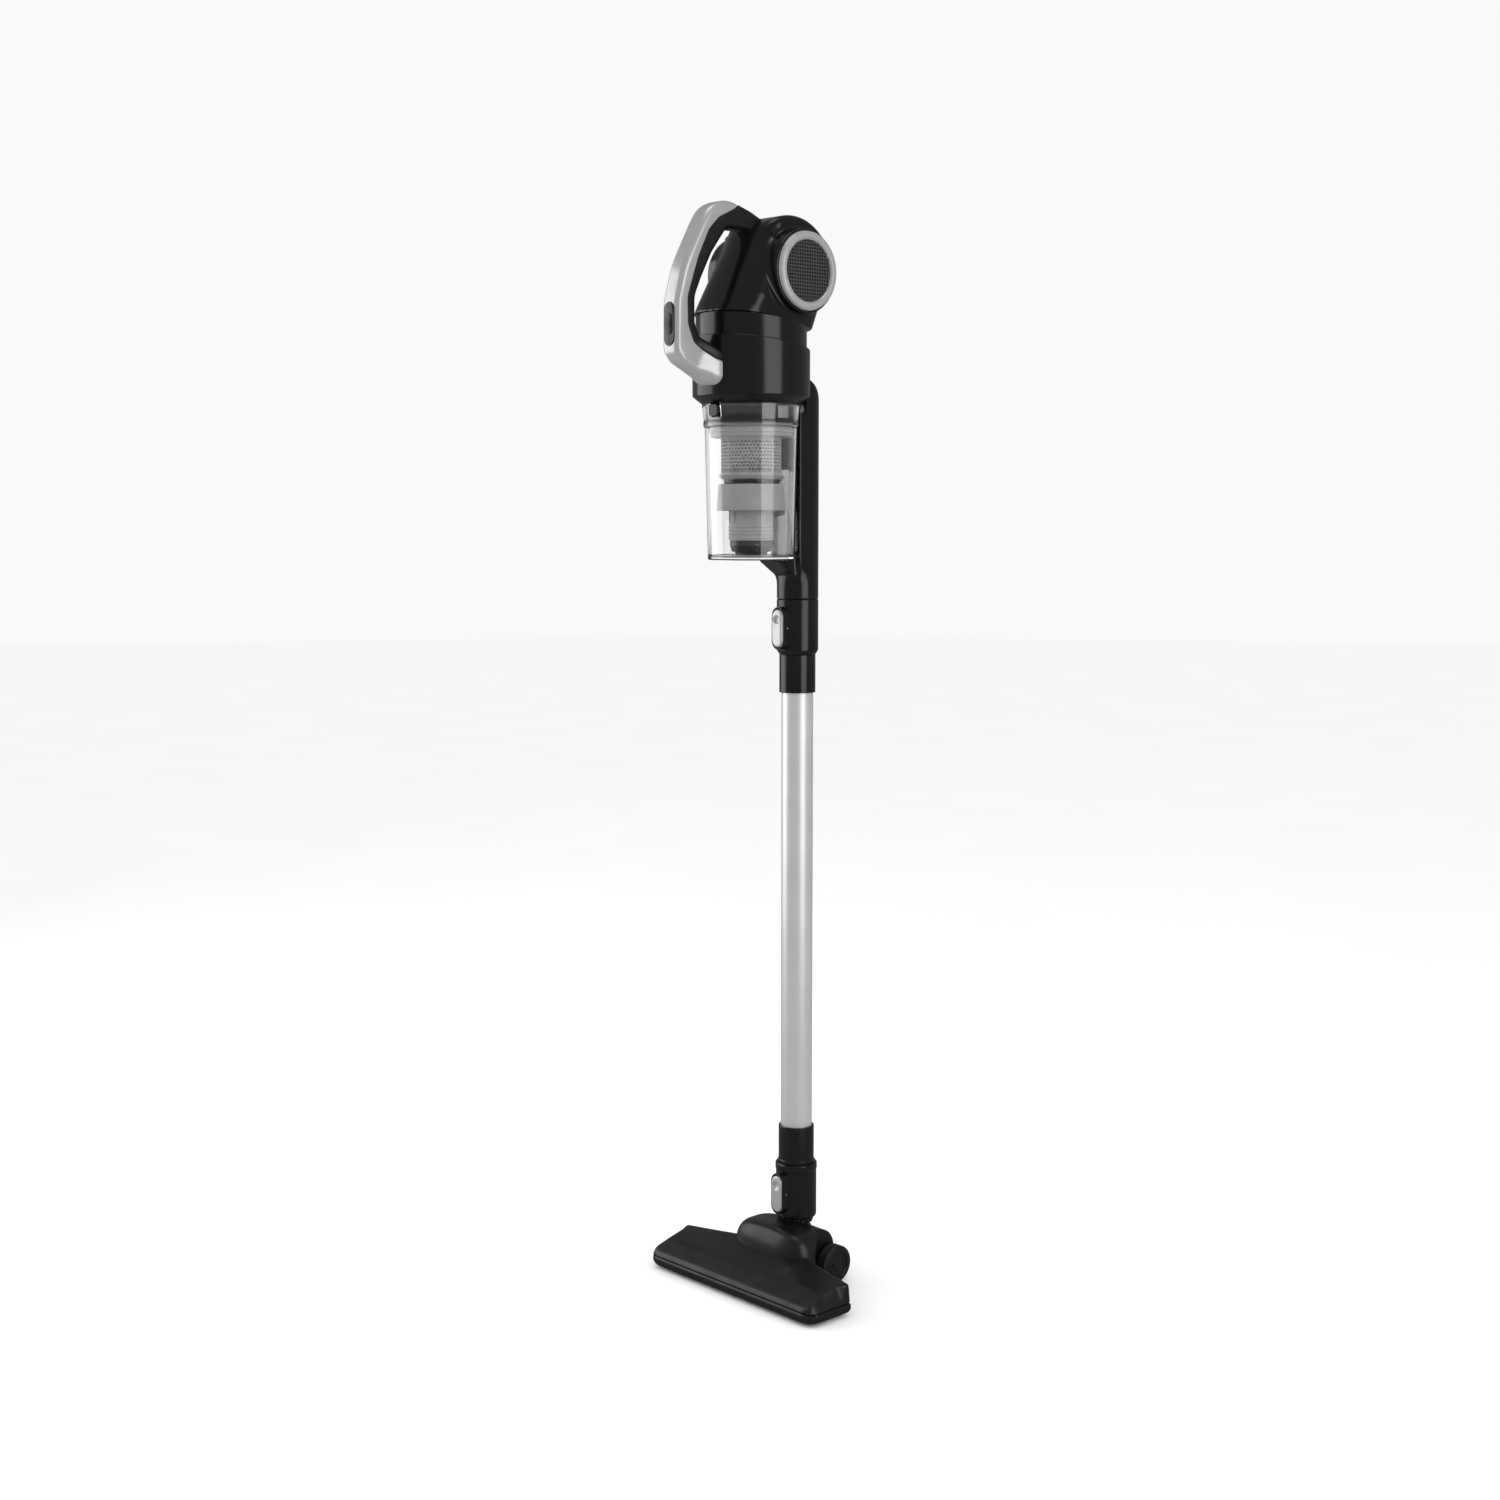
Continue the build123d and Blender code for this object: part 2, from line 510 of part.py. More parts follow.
def make_cyclone():
    ring = pipe(RING_R, 36, RING_Z, CUP_Z[1] - 0.2, y=BODY_Y)
    ring -= block(-6.3, 6.3, BODY_Y - 60, BUTTON_Y + CUP_BUTTON_TRAVEL + 0.4, 876.5, 895)
    tab = block(-6.5, 6.5, -RING_R, -RING_R + 2.6, 876, 888) & rod(RING_R, 870, 890)
    tabs = [BODY * Rot(0, 0, angle) * tab for angle in (90, 270)]
    ring -= tabs
    save("plate_tabs", *tabs)
    save("cup_ring", ring)
    seal = pipe(RING_R - 0.2, 40, SEAL_Z, RING_Z, y=BODY_Y)
    save("cup_seal", seal)
    plate = pipe(PLATE_R, 24, PLATE_STEP_Z, SEAL_Z, y=BODY_Y)
    plate += pipe(PLATE_R - 1.5, 24, CAGE_Z[1], PLATE_STEP_Z, y=BODY_Y)
    save("filter_plate", plate)
    cage = pipe(CAGE_R, CAGE_R - 1.6, CAGE_Z[0], CAGE_Z[1], y=BODY_Y)
    rows, columns = 5, 24
    holes = []
    for row in range(rows):
        for column in range(columns):
            angle = 360 / columns * (column + (row % 2) / 2)
            z = CAGE_Z[0] + 6 + row * 6
            holes.append(Rot(0, 0, angle) * Pos(CAGE_R, 0, z) * Rot(0, 90, 0) * Cylinder(1.6, 6))
    cage -= [BODY * hole for hole in holes]
    save("mesh_cage", cage)
    lip = cone(CAGE_R - 1.0, CAGE_R + 2.4, LIP_Z, CAGE_Z[0], y=BODY_Y)
    lip -= rod(CAGE_R - 4, 800, 830, y=BODY_Y)
    save("cage_lip", lip)
    neck = cone(26.5, CAGE_R - 2.5, SKIRT_Z[1], LIP_Z, y=BODY_Y)
    neck -= rod(23, 800, 830, y=BODY_Y)
    save("cyclone_neck", neck)
    skirt = cone(33.6, 31.8, SKIRT_Z[0], SKIRT_Z[1], y=BODY_Y)
    skirt -= cone(31.6, 29.8, SKIRT_Z[0] - 0.01, SKIRT_Z[1] - 2.4, y=BODY_Y)
    skirt -= rod(23, 700, 830, y=BODY_Y)
    save("cyclone_skirt", skirt)
    shroud = pipe(SHROUD_R, SHROUD_R - 2, CAP_Z[1], SKIRT_Z[1] - 2.4, y=BODY_Y)
    for step in range(3):
        z = CAP_Z[1] + 2.5 + 4 * step
        shroud += pipe(SHROUD_R + 0.9, SHROUD_R - 1, z, z + 1.6, y=BODY_Y)
    save("cyclone_shroud", shroud)
    cap = pipe(16, 6, CAP_Z[0], CAP_Z[0] + 5, y=BODY_Y)
    cap += pipe(SHROUD_R - 0.5, 6, CAP_Z[0] + 5, CAP_Z[1], y=BODY_Y)
    save("cyclone_cap", cap)
    make_pleated_filter()


def make_pleated_filter():
    """Pleated paper element standing inside the cage, with an end disc top and bottom."""
    pleats = 20
    outer, inner = 22.4, 16.5
    points = []
    for index in range(2 * pleats):
        angle = math.pi * index / pleats
        radius = outer if index % 2 == 0 else inner + 1.4
        points.append((radius * math.cos(angle), radius * math.sin(angle)))
    star = make_face(Polyline(*points, close=True))
    body = Pos(0, 0, 818) * extrude(star, amount=48)
    body -= rod(inner - 1.0, 817, 868)
    body += pipe(22.6, 10, 866, 868) + rod(22.6, 816, 818)
    save("pleated_filter", BODY * body)


def make_cup_button():
    button = block(-5.6, 5.6, BUTTON_Y - 9.5, BUTTON_Y, 878, 888.6)
    button = fillet(button.edges().filter_by(Axis.Y), 2.0)
    save("cup_release_button", button)


# ---------------------------------------------------------------- motor unit

def collar_cut(raise_by=0.0):
    """Space above the slanting top edge of the collar."""
    slope = math.degrees(math.atan2(COLLAR_Z[1] - COLLAR_REAR, 2 * COLLAR_RADIUS))
    middle = (COLLAR_Z[1] + COLLAR_REAR) / 2 + raise_by
    return Pos(0, BODY_Y, middle) * Rot(-slope, 0, 0) * Pos(0, 0, 60) * Box(200, 200, 120)


def make_collar():
    outer = rod(COLLAR_RADIUS, COLLAR_Z[0], 960, y=BODY_Y)
    outer += cone(CUP_TOP_R, COLLAR_RADIUS, CUP_Z[1] + 0.3, COLLAR_Z[0], y=BODY_Y)
    collar = outer - collar_cut()
    collar -= rod(COLLAR_RADIUS - WALL, COLLAR_Z[0] + 1, 1000, y=BODY_Y)
    collar -= rod(34, 880, 920, y=BODY_Y)
    save("collar", collar)


def make_neck_band():
    band = pipe(BAND_R, BAND_R - WALL, 915, BAND_TOP + 5, y=BODY_Y)
    band -= collar_cut(22.0)
    band -= Pos(0, JACK_Y, JACK_Z) * Rot(90, 0, 0) * Cylinder(JACK_R, JACK_DEPTH + 1)
    save("neck_band", band)


def housing_axis(share):
    """Point on the leaning axis of the housing: 0 at the drum centre, in mm along the lean."""
    lean = math.radians(LEAN)
    return DRUM_Y + share * math.sin(lean), DRUM_Z + share * math.cos(lean)


def housing_block(inset, drop=0.0):
    """Leaning barrel with flattened sides, closed by a cross drum that narrows to the vents."""
    y, z = housing_axis(-50)
    lean = Pos(0, y, z) * Rot(-LEAN, 0, 0) * Cone(HOUSING_R - inset, DRUM_R - 1.5 - inset, 100)
    lean -= collar_cut(-98.0 - drop)
    side = DRUM_HALF - 1.0 - inset
    flats = Polyline((-70, 900), (-70, 946), (-side, 976), (-side, 1100),
                     (side, 1100), (side, 976), (70, 946), (70, 900), close=True)
    lean &= extrude(Plane.XZ * make_face(flats), amount=200, both=True)
    drum = cross_rod(DRUM_R - inset, -DRUM_STRAIGHT, DRUM_STRAIGHT, DRUM_Y, DRUM_Z)
    half = (DRUM_HALF - inset - DRUM_STRAIGHT) / 2
    end = Cone(DRUM_R - inset, VENT_R + 3.5 - inset, 2 * half)
    for side in (-1, 1):
        drum += Pos(side * (DRUM_STRAIGHT + half), DRUM_Y, DRUM_Z) * Rot(0, 90 * side, 0) * end
    return lean + drum


def make_housing():
    housing = housing_block(0.0) - housing_block(WALL, 8.0)
    housing -= cross_rod(VENT_R - 3, -60, 60, DRUM_Y, DRUM_Z)
    housing = max(housing.solids(), key=lambda piece: piece.volume)
    save("motor_housing", housing)


def make_vents():
    ring = cross_rod(VENT_R, DRUM_HALF + 0.05, VENT_X, DRUM_Y, DRUM_Z)
    ring = fillet(ring.faces().sort_by(Axis.X)[-1].edges(), 2.0)
    ring -= cross_rod(VENT_GRILLE_R, 0, VENT_X + 1, DRUM_Y, DRUM_Z)
    save("vent_rings", *both_sides(ring))
    grille = cross_rod(VENT_GRILLE_R, VENT_X - 3.6, VENT_X - 2.0, DRUM_Y, DRUM_Z)
    pitch = 5.2
    cells = []
    for row in range(-5, 6):
        for column in range(-5, 6):
            y, z = row * pitch, column * pitch
            if math.hypot(y, z) < VENT_GRILLE_R - 3.4:
                cells.append(Pos(VENT_X - 3, DRUM_Y + y, DRUM_Z + z) * Box(6, 3.9, 3.9))
    grille -= cells
    save("vent_grilles", *both_sides(grille))
    foam = cross_rod(VENT_GRILLE_R - 0.2, VENT_X - 9, VENT_X - 3.6, DRUM_Y, DRUM_Z)
    save("exhaust_foams", *both_sides(foam))


def cell_places():
    """Centres of the battery cells in the drum, as (y, z) from the drum centre."""
    return [(column * 19.6, row * 19.6 + 9.0) for column in (-1, 0, 1) for row in (0, 1)]


def make_battery():
    cells = []
    holder = block(-34.5, 34.5, DRUM_Y - 30, DRUM_Y + 30, DRUM_Z - 2, DRUM_Z + 39.5)
    holder &= cross_rod(46.5, -40, 40, DRUM_Y, DRUM_Z)
    for y, z in cell_places():
        half = CELL_LENGTH / 2
        cell = cross_rod(CELL_R, -half, half, DRUM_Y + y, DRUM_Z + z)
        cell += cross_rod(3.0, half, half + 1.0, DRUM_Y + y, DRUM_Z + z)
        cells.append(cell)
        holder -= cross_rod(CELL_R + 0.05, -half - 0.05, half + 1.1, DRUM_Y + y, DRUM_Z + z)
    holder -= block(-26, 26, DRUM_Y - 40, DRUM_Y + 40, DRUM_Z - 10, DRUM_Z + 60)
    save("battery_holder", *holder.solids())
    save("battery_cells", *cells)


def make_motor():
    can = pipe(MOTOR_R, MOTOR_R - 1.6, FAN_Z + 22, MOTOR_TOP, y=BODY_Y)
    can += pipe(MOTOR_R, 4.0, MOTOR_TOP, MOTOR_TOP + 1.6, y=BODY_Y)
    save("motor_can", can)
    shroud = pipe(FAN_CASE_R, 36.4, FAN_Z + 2, FAN_Z + 22, y=BODY_Y)
    shroud += pipe(FAN_CASE_R, 13, FAN_Z, FAN_Z + 2, y=BODY_Y)
    shroud += pipe(FAN_CASE_R, 8, FAN_Z + 20, FAN_Z + 22, y=BODY_Y)
    save("fan_shroud", shroud)
    rotor = rod(2.5, FAN_Z + 3, MOTOR_TOP + 6, y=BODY_Y)
    rotor += rod(22, FAN_Z + 26, MOTOR_TOP - 8, y=BODY_Y)
    rotor += rod(34.5, FAN_Z + 14, FAN_Z + 16, y=BODY_Y)
    rotor += cone(12, 7, FAN_Z + 5, FAN_Z + 14, y=BODY_Y)
    for index in range(9):
        blade = Pos(22, 0, FAN_Z + 10.6) * Rot(0, 0, 28) * Box(21, 1.4, 7.4)
        rotor += BODY * Rot(0, 0, 40 * index) * blade
    save("motor_rotor", rotor)
    stator = pipe(MOTOR_R - 1.7, 23, FAN_Z + 27, MOTOR_TOP - 10, y=BODY_Y)
    save("motor_stator", stator)
    mount = pipe(COLLAR_RADIUS - WALL - 0.2, FAN_CASE_R + 0.1, FAN_Z + 2, FAN_Z + 8, y=BODY_Y)
    mount -= pipe(80, BAND_R - WALL - 0.3, FAN_Z, FAN_Z + 20, y=BODY_Y)
    save("motor_mount", mount)
    board = block(-24, 24, DRUM_Y - 20, DRUM_Y + 24, DRUM_Z - 14, DRUM_Z - 12.4)
    board += block(-12, -2, DRUM_Y - 12, DRUM_Y - 2, DRUM_Z - 12.4, DRUM_Z - 8)
    board += block(4, 10, DRUM_Y - 6, DRUM_Y + 10, DRUM_Z - 12.4, DRUM_Z - 5)
    save("control_board", board)


def make_charge_socket():
    """Round charging socket in the rear of the neck band, with its centre pin."""
    body = Cylinder(JACK_R, JACK_DEPTH) - Pos(0, 0, 1.5) * Cylinder(3.2, JACK_DEPTH)
    body += Pos(0, 0, -1) * Cylinder(0.9, JACK_DEPTH - 3)
    save("charge_socket", Pos(0, JACK_Y, JACK_Z) * Rot(-90, 0, 0) * body)


# ---------------------------------------------------------------- handle

def loop_face(points, radii):
    """Face bounded by a closed chain of points with rounded corners."""
    chain = FilletPolyline(*[(y + BODY_Y, z) for y, z in points], radius=radii, close=True)
    return make_face(chain)


def handle_shell_face():
    return loop_face(
        [(-12, 1079.5), (-30, 1081.5), (-52, 1073), (-70, 1057), (-97, 1016), (-HANDLE_FRONT, 990),
         (-HANDLE_FRONT, 934), (-98, 925), (-46, 903.5), (-46, 930), (-60, 930), (-84, 944), (-91.5, 962),
         (-91.5, 987), (-78, 1024), (-64, 1050), (-52, 1064), (-30, 1072)],
        [3, 12, 20, 20, 30, 20, 12, 8, 10, 10, 12, 12, 14, 20, 30, 20, 16, 4])


def handle_grip_face():
    return loop_face(
        [(-29.5, 1072.4), (-51.5, 1064.3), (-63.7, 1050.3), (-77.7, 1024.2), (-91.2, 987.2),
         (-91.2, 962.2), (-83.8, 944.4), (-59.9, 930.4), (-48, 930.4), (-48, 937), (-62, 944),
         (-75, 951), (-80.3, 964), (-80.3, 988), (-72, 1005), (-59, 1029), (-45, 1049),
         (-18, 1052), (4, 1050), (4, 1066), (-12, 1076)],
        [4, 16, 20, 30, 20, 14, 12, 6, 2, 3, 6, 12, 14, 20, 24, 24, 16, 6, 3, 3, 3])


def make_handle():
    shell = extrude(Plane.YZ * handle_shell_face(), amount=GRIP_HALF, both=True)
    shell_room = shell
    shell -= rod(COLLAR_RADIUS + 0.05, 800, 1000, y=BODY_Y)
    shell -= switch_slab(8.2, 42.2, 3.0)
    save("handle_shell", shell)
    grip = extrude(Plane.YZ * handle_grip_face(), amount=GRIP_HALF - 0.6, both=True)
    grip -= rod(COLLAR_RADIUS + 0.05, 800, 1000, y=BODY_Y)
    grip -= housing_block(-0.05)
    grip -= shell_room
    grip = max(grip.solids(), key=lambda piece: piece.volume)
    save("handle_grip", grip)


def switch_slab(half_width, height, depth):
    """Rounded slab let into the front of the handle."""
    face = Plane.XZ * SlotCenterToCenter(height - 2 * half_width, 2 * half_width, rotation=90)
    return Pos(0, BODY_Y - HANDLE_FRONT + depth, SWITCH_Z) * extrude(face, amount=depth + 1)


def make_switch():
    bezel = switch_slab(8.1, 42.0, 2.9) & block(-20, 20, BODY_Y - HANDLE_FRONT + 0.4, 0, 900, 1020)
    bezel -= switch_slab(5.6, 37.0, 1.9)
    save("switch_bezel", bezel)
    slider = switch_slab(5.2, 18.0, 1.7) & block(-20, 20, BODY_Y - HANDLE_FRONT + 0.8, 0, 900, 1020)
    front = BODY_Y - HANDLE_FRONT
    slider += block(-3.6, 3.6, front, front + 1.4, SWITCH_Z - 2, SWITCH_Z + 2)
    save("switch_slider", slider)


def main():
    os.makedirs("parts", exist_ok=True)
    make_head_cover()
    make_head_base()
    make_head_screws()
    make_head_bumper()
    make_head_dome()
    make_bristles()
    make_wheels()
    make_rollers()
    make_neck_elbow()
    make_socket("lower_socket", LOWER_SOCKET_Z, True)
    make_latch("lower", LOWER_SOCKET_Z)
    make_socket("upper_socket", UPPER_SOCKET_Z, False)
    make_latch("upper", UPPER_SOCKET_Z)
    make_wand()
    make_spine()
    make_cup()
    make_inlet_flap()
    make_cyclone()
    make_cup_button()
    make_collar()
    make_neck_band()
    make_housing()
    make_vents()
    make_battery()
    make_motor()
    make_charge_socket()
    make_handle()
    make_switch()


main()
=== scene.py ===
import json
import math
import random

import bmesh
import bpy
import numpy as np
from bpy.props import FloatProperty, FloatVectorProperty, IntProperty, PointerProperty
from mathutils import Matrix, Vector


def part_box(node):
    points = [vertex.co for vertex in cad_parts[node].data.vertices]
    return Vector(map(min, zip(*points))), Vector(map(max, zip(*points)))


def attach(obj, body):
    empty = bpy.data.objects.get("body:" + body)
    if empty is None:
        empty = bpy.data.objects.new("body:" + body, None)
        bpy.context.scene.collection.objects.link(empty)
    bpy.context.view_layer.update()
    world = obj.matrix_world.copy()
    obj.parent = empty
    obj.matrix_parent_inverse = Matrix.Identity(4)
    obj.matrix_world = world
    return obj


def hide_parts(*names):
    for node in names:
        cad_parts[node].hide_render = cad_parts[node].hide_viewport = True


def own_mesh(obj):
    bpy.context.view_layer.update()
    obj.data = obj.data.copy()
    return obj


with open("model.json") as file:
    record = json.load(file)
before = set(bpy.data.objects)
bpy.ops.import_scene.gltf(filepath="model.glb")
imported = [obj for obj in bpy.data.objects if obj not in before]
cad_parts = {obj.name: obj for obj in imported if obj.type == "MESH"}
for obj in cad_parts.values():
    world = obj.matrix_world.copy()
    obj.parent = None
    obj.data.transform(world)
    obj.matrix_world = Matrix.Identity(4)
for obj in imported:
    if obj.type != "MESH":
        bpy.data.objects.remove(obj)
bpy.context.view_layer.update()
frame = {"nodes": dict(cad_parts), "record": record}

bl_info = {
    "name": "Cordless stick vacuum",
    "version": (1, 0, 0),
    "blender": (4, 5, 0),
    "location": "View3D > Sidebar > Vacuum",
    "description": "Shells, filter, wheels and finishes of a cordless stick vacuum",
    "category": "Add Mesh",
}

MM = 0.001
TAU = 2 * math.pi


# ------------------------------------------------------------------ places read from the frame, in mm

def low(node):
    return np.array(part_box(node)[0]) / MM


def high(node):
    return np.array(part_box(node)[1]) / MM


def middle(node):
    return (low(node) + high(node)) / 2


def heights(node):
    """Lowest and highest z of a frame node."""
    return low(node)[2], high(node)[2]


BODY_Y = middle("cup_seal")[1]
WAND_Y = middle("wand_tube")[1]
WAND_AXIS = (0, WAND_Y)
BODY_AXIS = (0, BODY_Y)

# Steps round a turned piece whose outline shows large
FINE_STEPS = 160

# Radii that the wand, its sockets and the spine share, in mm
BORE_R = 14.6
SLEEVE_R = 16.05
SPIGOT_R = 17.2
COLLAR_R = 18.2
SOCKET_R = 20.9

# How far the back of a latch button stands off its frame solid, so that it clears the socket when pressed
BUTTON_CLEAR = 2.1


def linear(code):
    """sRGB hex to linear RGB."""
    values = [int(code[i:i + 2], 16) / 255 for i in (1, 3, 5)]
    return [v / 12.92 if v <= 0.04045 else ((v + 0.055) / 1.055) ** 2.4 for v in values]


# ------------------------------------------------------------------ user-changeable values

def colour(label, code, note):
    return FloatVectorProperty(name=label, description=note, subtype="COLOR", size=3,
                               min=0, max=1, default=linear(code))


class VacuumColours(bpy.types.PropertyGroup):
    gloss_black: colour("Gloss black", "#0C0C0D", "Polished housing, collar, spine and sockets")
    satin_black: colour("Satin black", "#0F0F10", "Floor head and neck")
    silver: colour("Silver lacquer", "#BDBEC0", "Handle shell, vent rings and latch buttons")
    tube: colour("Anodised tube", "#DCDDDF", "Aluminium wand tube")
    filter_grey: colour("Filter grey", "#CCCCCC", "Cyclone cage, skirt and plate")
    rubber: colour("Rubber", "#101010", "Tyres, seals and grip")


class VacuumSizes(bpy.types.PropertyGroup):
    cage_pitch: FloatProperty(name="Cage hole pitch",
                              description="Distance between the holes of the cyclone cage",
                              default=3.4 * MM, min=2.0 * MM, max=6 * MM, unit="LENGTH")
    grille_pitch: FloatProperty(name="Grille pitch",
                                description="Distance between the bars of the side vents",
                                default=3.3 * MM, min=2 * MM, max=8 * MM, unit="LENGTH")
    edge_round: FloatProperty(name="Moulded edge radius",
                              description="Rounding of the edges of plain moulded pieces",
                              default=0.35 * MM, min=0.05 * MM, max=1 * MM, unit="LENGTH")
    turn_steps: IntProperty(name="Round segments", description="Segments round each turned piece",
                            default=128, min=48, max=256)
    light_strength: FloatProperty(name="Light strength",
                                  description="Brightness of the studio softboxes, where 1 is white",
                                  default=1.7, min=0.1, max=20.0)


def colours():
    return bpy.context.scene.vacuum_colours


def sizes():
    return bpy.context.scene.vacuum_sizes


# ------------------------------------------------------------------ materials

def add_node(material, kind, settings=None, stops=(), **links):
    """Adds one node to a material: sets its properties, inputs and colour stops, and links inputs."""
    tree = material.node_tree
    node = tree.nodes.new(kind)
    for key, value in (settings or {}).items():
        if key in node.inputs:
            node.inputs[key].default_value = value
        else:
            setattr(node, key, value)
    if stops:
        for element, (position, shade) in zip(node.color_ramp.elements, stops):
            element.position = position
            element.color = (*shade, 1) if hasattr(shade, "__len__") else (shade, shade, shade, 1)
    for key, output in links.items():
        tree.links.new(output, node.inputs[key.replace("_", " ")])
    return node


def new_material(name, **shader_inputs):
    """Material with its Principled shader set: returns the material and the shader."""
    material = bpy.data.materials.new(name)
    material.use_nodes = True
    shader = next(n for n in material.node_tree.nodes if n.type == "BSDF_PRINCIPLED")
    for key, value in shader_inputs.items():
        shader.inputs[key.replace("_", " ")].default_value = value
    return material, shader


def join(material, shader, **links):
    for key, output in links.items():
        material.node_tree.links.new(output, shader.inputs[key.replace("_", " ")])


def place(material, stretch=(1, 1, 1)):
    """Object coordinates in millimetres, stretched along the axes."""
    coordinates = add_node(material, "ShaderNodeTexCoord")
    scale = tuple(1000 * s for s in stretch)
    mapping = add_node(material, "ShaderNodeMapping", {"Scale": scale},
                       Vector=coordinates.outputs["Object"])
    return mapping.outputs[0]


def cloud(material, position, size, detail, stops):
    """Patches about size mm across that run between two shades or two roughnesses."""
    settings = {"Scale": 1.0 / size, "Detail": detail}
    patches = add_node(material, "ShaderNodeTexNoise", settings, Vector=position)
    return add_node(material, "ShaderNodeValToRGB", stops=stops, Fac=patches.outputs["Fac"]).outputs[0]


def relief(material, position, size, detail, depth, strength=1.0):
    """Surface unevenness about size mm across and depth mm high."""
    patches = add_node(material, "ShaderNodeTexNoise", {"Scale": 1.0 / size, "Detail": detail},
                       Vector=position)
    settings = {"Distance": depth * MM, "Strength": strength}
    return add_node(material, "ShaderNodeBump", settings, Height=patches.outputs["Fac"]).outputs[0]


def shades(base, spread):
    """Stops that run a small share below and above a base colour."""
    return [(0.3, [c * (1 - spread) for c in base]), (0.7, [min(1.0, c * (1 + spread)) for c in base])]


def gloss_abs(name, base):
    # Polished-mould ABS: mirror-like skin, faint sink ripple about 14 mm across, hairline wipe marks.
    material, shader = new_material(name, IOR=1.54)
    position = place(material)
    wiped = place(material, (1, 1, 0.08))
    join(material, shader, Base_Color=cloud(material, position, 22.0, 3.0, shades(base, 0.06)),
         Roughness=cloud(material, wiped, 0.9, 3.0, [(0.3, 0.15), (0.75, 0.22)]),
         Normal=relief(material, position, 14.0, 1.0, 0.05))
    return material


def satin_abs(name, base):
    # Spark-eroded ABS: pebbled grain of about 0.5 mm, drawn at 0.8 mm so it shows, spreads highlights.
    material, shader = new_material(name, IOR=1.54)
    position = place(material)
    join(material, shader, Base_Color=cloud(material, position, 9.0, 3.0, shades(base, 0.10)),
         Roughness=cloud(material, position, 18.0, 5.0, [(0.35, 0.30), (0.7, 0.42)]),
         Normal=relief(material, position, 0.8, 2.0, 0.04, 0.7))
    return material


def lacquered_abs(name, base):
    # Silver lacquer on ABS: aluminium flake of 0.1 mm, drawn at 0.3 mm, glitters finely under a soft sheen.
    material, shader = new_material(name, Metallic=0.55, Coat_Weight=0.5, Coat_Roughness=0.08)
    position = place(material)
    flake = add_node(material, "ShaderNodeTexVoronoi", {"Scale": 1 / 0.3}, Vector=position).outputs["Color"]
    tone = add_node(material, "ShaderNodeValToRGB", stops=shades(base, 0.10), Fac=flake).outputs[0]
    join(material, shader, Base_Color=tone,
         Roughness=cloud(material, position, 12.0, 5.0, [(0.35, 0.28), (0.7, 0.38)]),
         Normal=relief(material, position, 2.2, 2.0, 0.01, 0.6))
    return material


def anodised_aluminium(name, base):
    # Matt anodised tube: draw lines of 0.2 mm along Z, drawn 0.4 mm apart, give a soft, streaked sheen.
    material, shader = new_material(name, Metallic=0.6)
    position = place(material)
    drawn = place(material, (1, 1, 0.012))
    join(material, shader, Base_Color=cloud(material, position, 40.0, 3.0, shades(base, 0.03)),
         Roughness=cloud(material, drawn, 0.4, 2.0, [(0.3, 0.30), (0.7, 0.40)]),
         Normal=relief(material, drawn, 0.4, 2.0, 0.006, 0.6))
    return material


def clear_polycarbonate(name):
    # Injection-moulded PC: clear with IOR 1.586, faint flow ripple about 20 mm long and a trace of dust haze.
    material, shader = new_material(name, IOR=1.586, Transmission_Weight=1.0,
                                    Base_Color=(0.97, 0.975, 0.98, 1))
    join(material, shader, Roughness=cloud(material, place(material), 6.0, 6.0, [(0.4, 0.02), (0.8, 0.07)]),
         Normal=relief(material, place(material, (1, 1, 0.4)), 20.0, 1.0, 0.03))
    return material


def moulded_grey(name, base):
    # Unpolished grey ABS: fine matt skin with a faint 1 mm grain and soft grey clouding from handling dust.
    material, shader = new_material(name, IOR=1.54)
    position = place(material)
    join(material, shader, Base_Color=cloud(material, position, 11.0, 3.0, shades(base, 0.05)),
         Roughness=cloud(material, position, 8.0, 5.0, [(0.35, 0.42), (0.7, 0.55)]),
         Normal=relief(material, position, 1.0, 3.0, 0.02, 0.6))
    return material


def moulded_rubber(name, base):
    # Moulded rubber: matt, slightly greyed on high spots, with 0.6 mm pebbling.
    material, shader = new_material(name, IOR=1.52, Sheen_Weight=0.12, Sheen_Roughness=0.4)
    position = place(material)
    join(material, shader, Base_Color=cloud(material, position, 6.0, 3.0, shades(base, 0.18)),
         Roughness=cloud(material, position, 7.0, 5.0, [(0.35, 0.52), (0.7, 0.68)]),
         Normal=relief(material, position, 0.6, 3.0, 0.04, 0.7))
    return material


def plated_steel(name):
    # Zinc-plated steel: grey metal with a crystalline cloud about 1.5 mm across and turning marks.
    material, shader = new_material(name, Metallic=1.0)
    position = place(material)
    join(material, shader, Base_Color=cloud(material, position, 1.5, 3.0, shades(linear("#B8BABC"), 0.08)),
         Roughness=cloud(material, position, 1.5, 5.0, [(0.35, 0.22), (0.7, 0.38)]),
         Normal=relief(material, position, 0.5, 2.0, 0.01))
    return material


def fibrous(name, base, fibre, stretch, roughness):
    # Fibres or open cells: broken, soft surface whose grain is fibre mm across, with painted shade in each
    # cell's hollow.
    material, shader = new_material(name, Sheen_Weight=0.25, Sheen_Roughness=0.5, Roughness=roughness)
    position = place(material, stretch)
    cells = add_node(material, "ShaderNodeTexVoronoi", {"Scale": 1 / fibre},
                     Vector=position).outputs["Distance"]
    # Painted shade: the tone is darkest at each cell's middle, where the bump dips lowest.
    stops = [(0.1, [c * 0.45 for c in base]), (0.6, base)]
    tone = add_node(material, "ShaderNodeValToRGB", stops=stops, Fac=cells).outputs[0]
    bumps = add_node(material, "ShaderNodeBump", {"Distance": 0.3 * MM, "Strength": 0.8},
                     Height=cells).outputs[0]
    join(material, shader, Base_Color=tone, Normal=bumps)
    return material


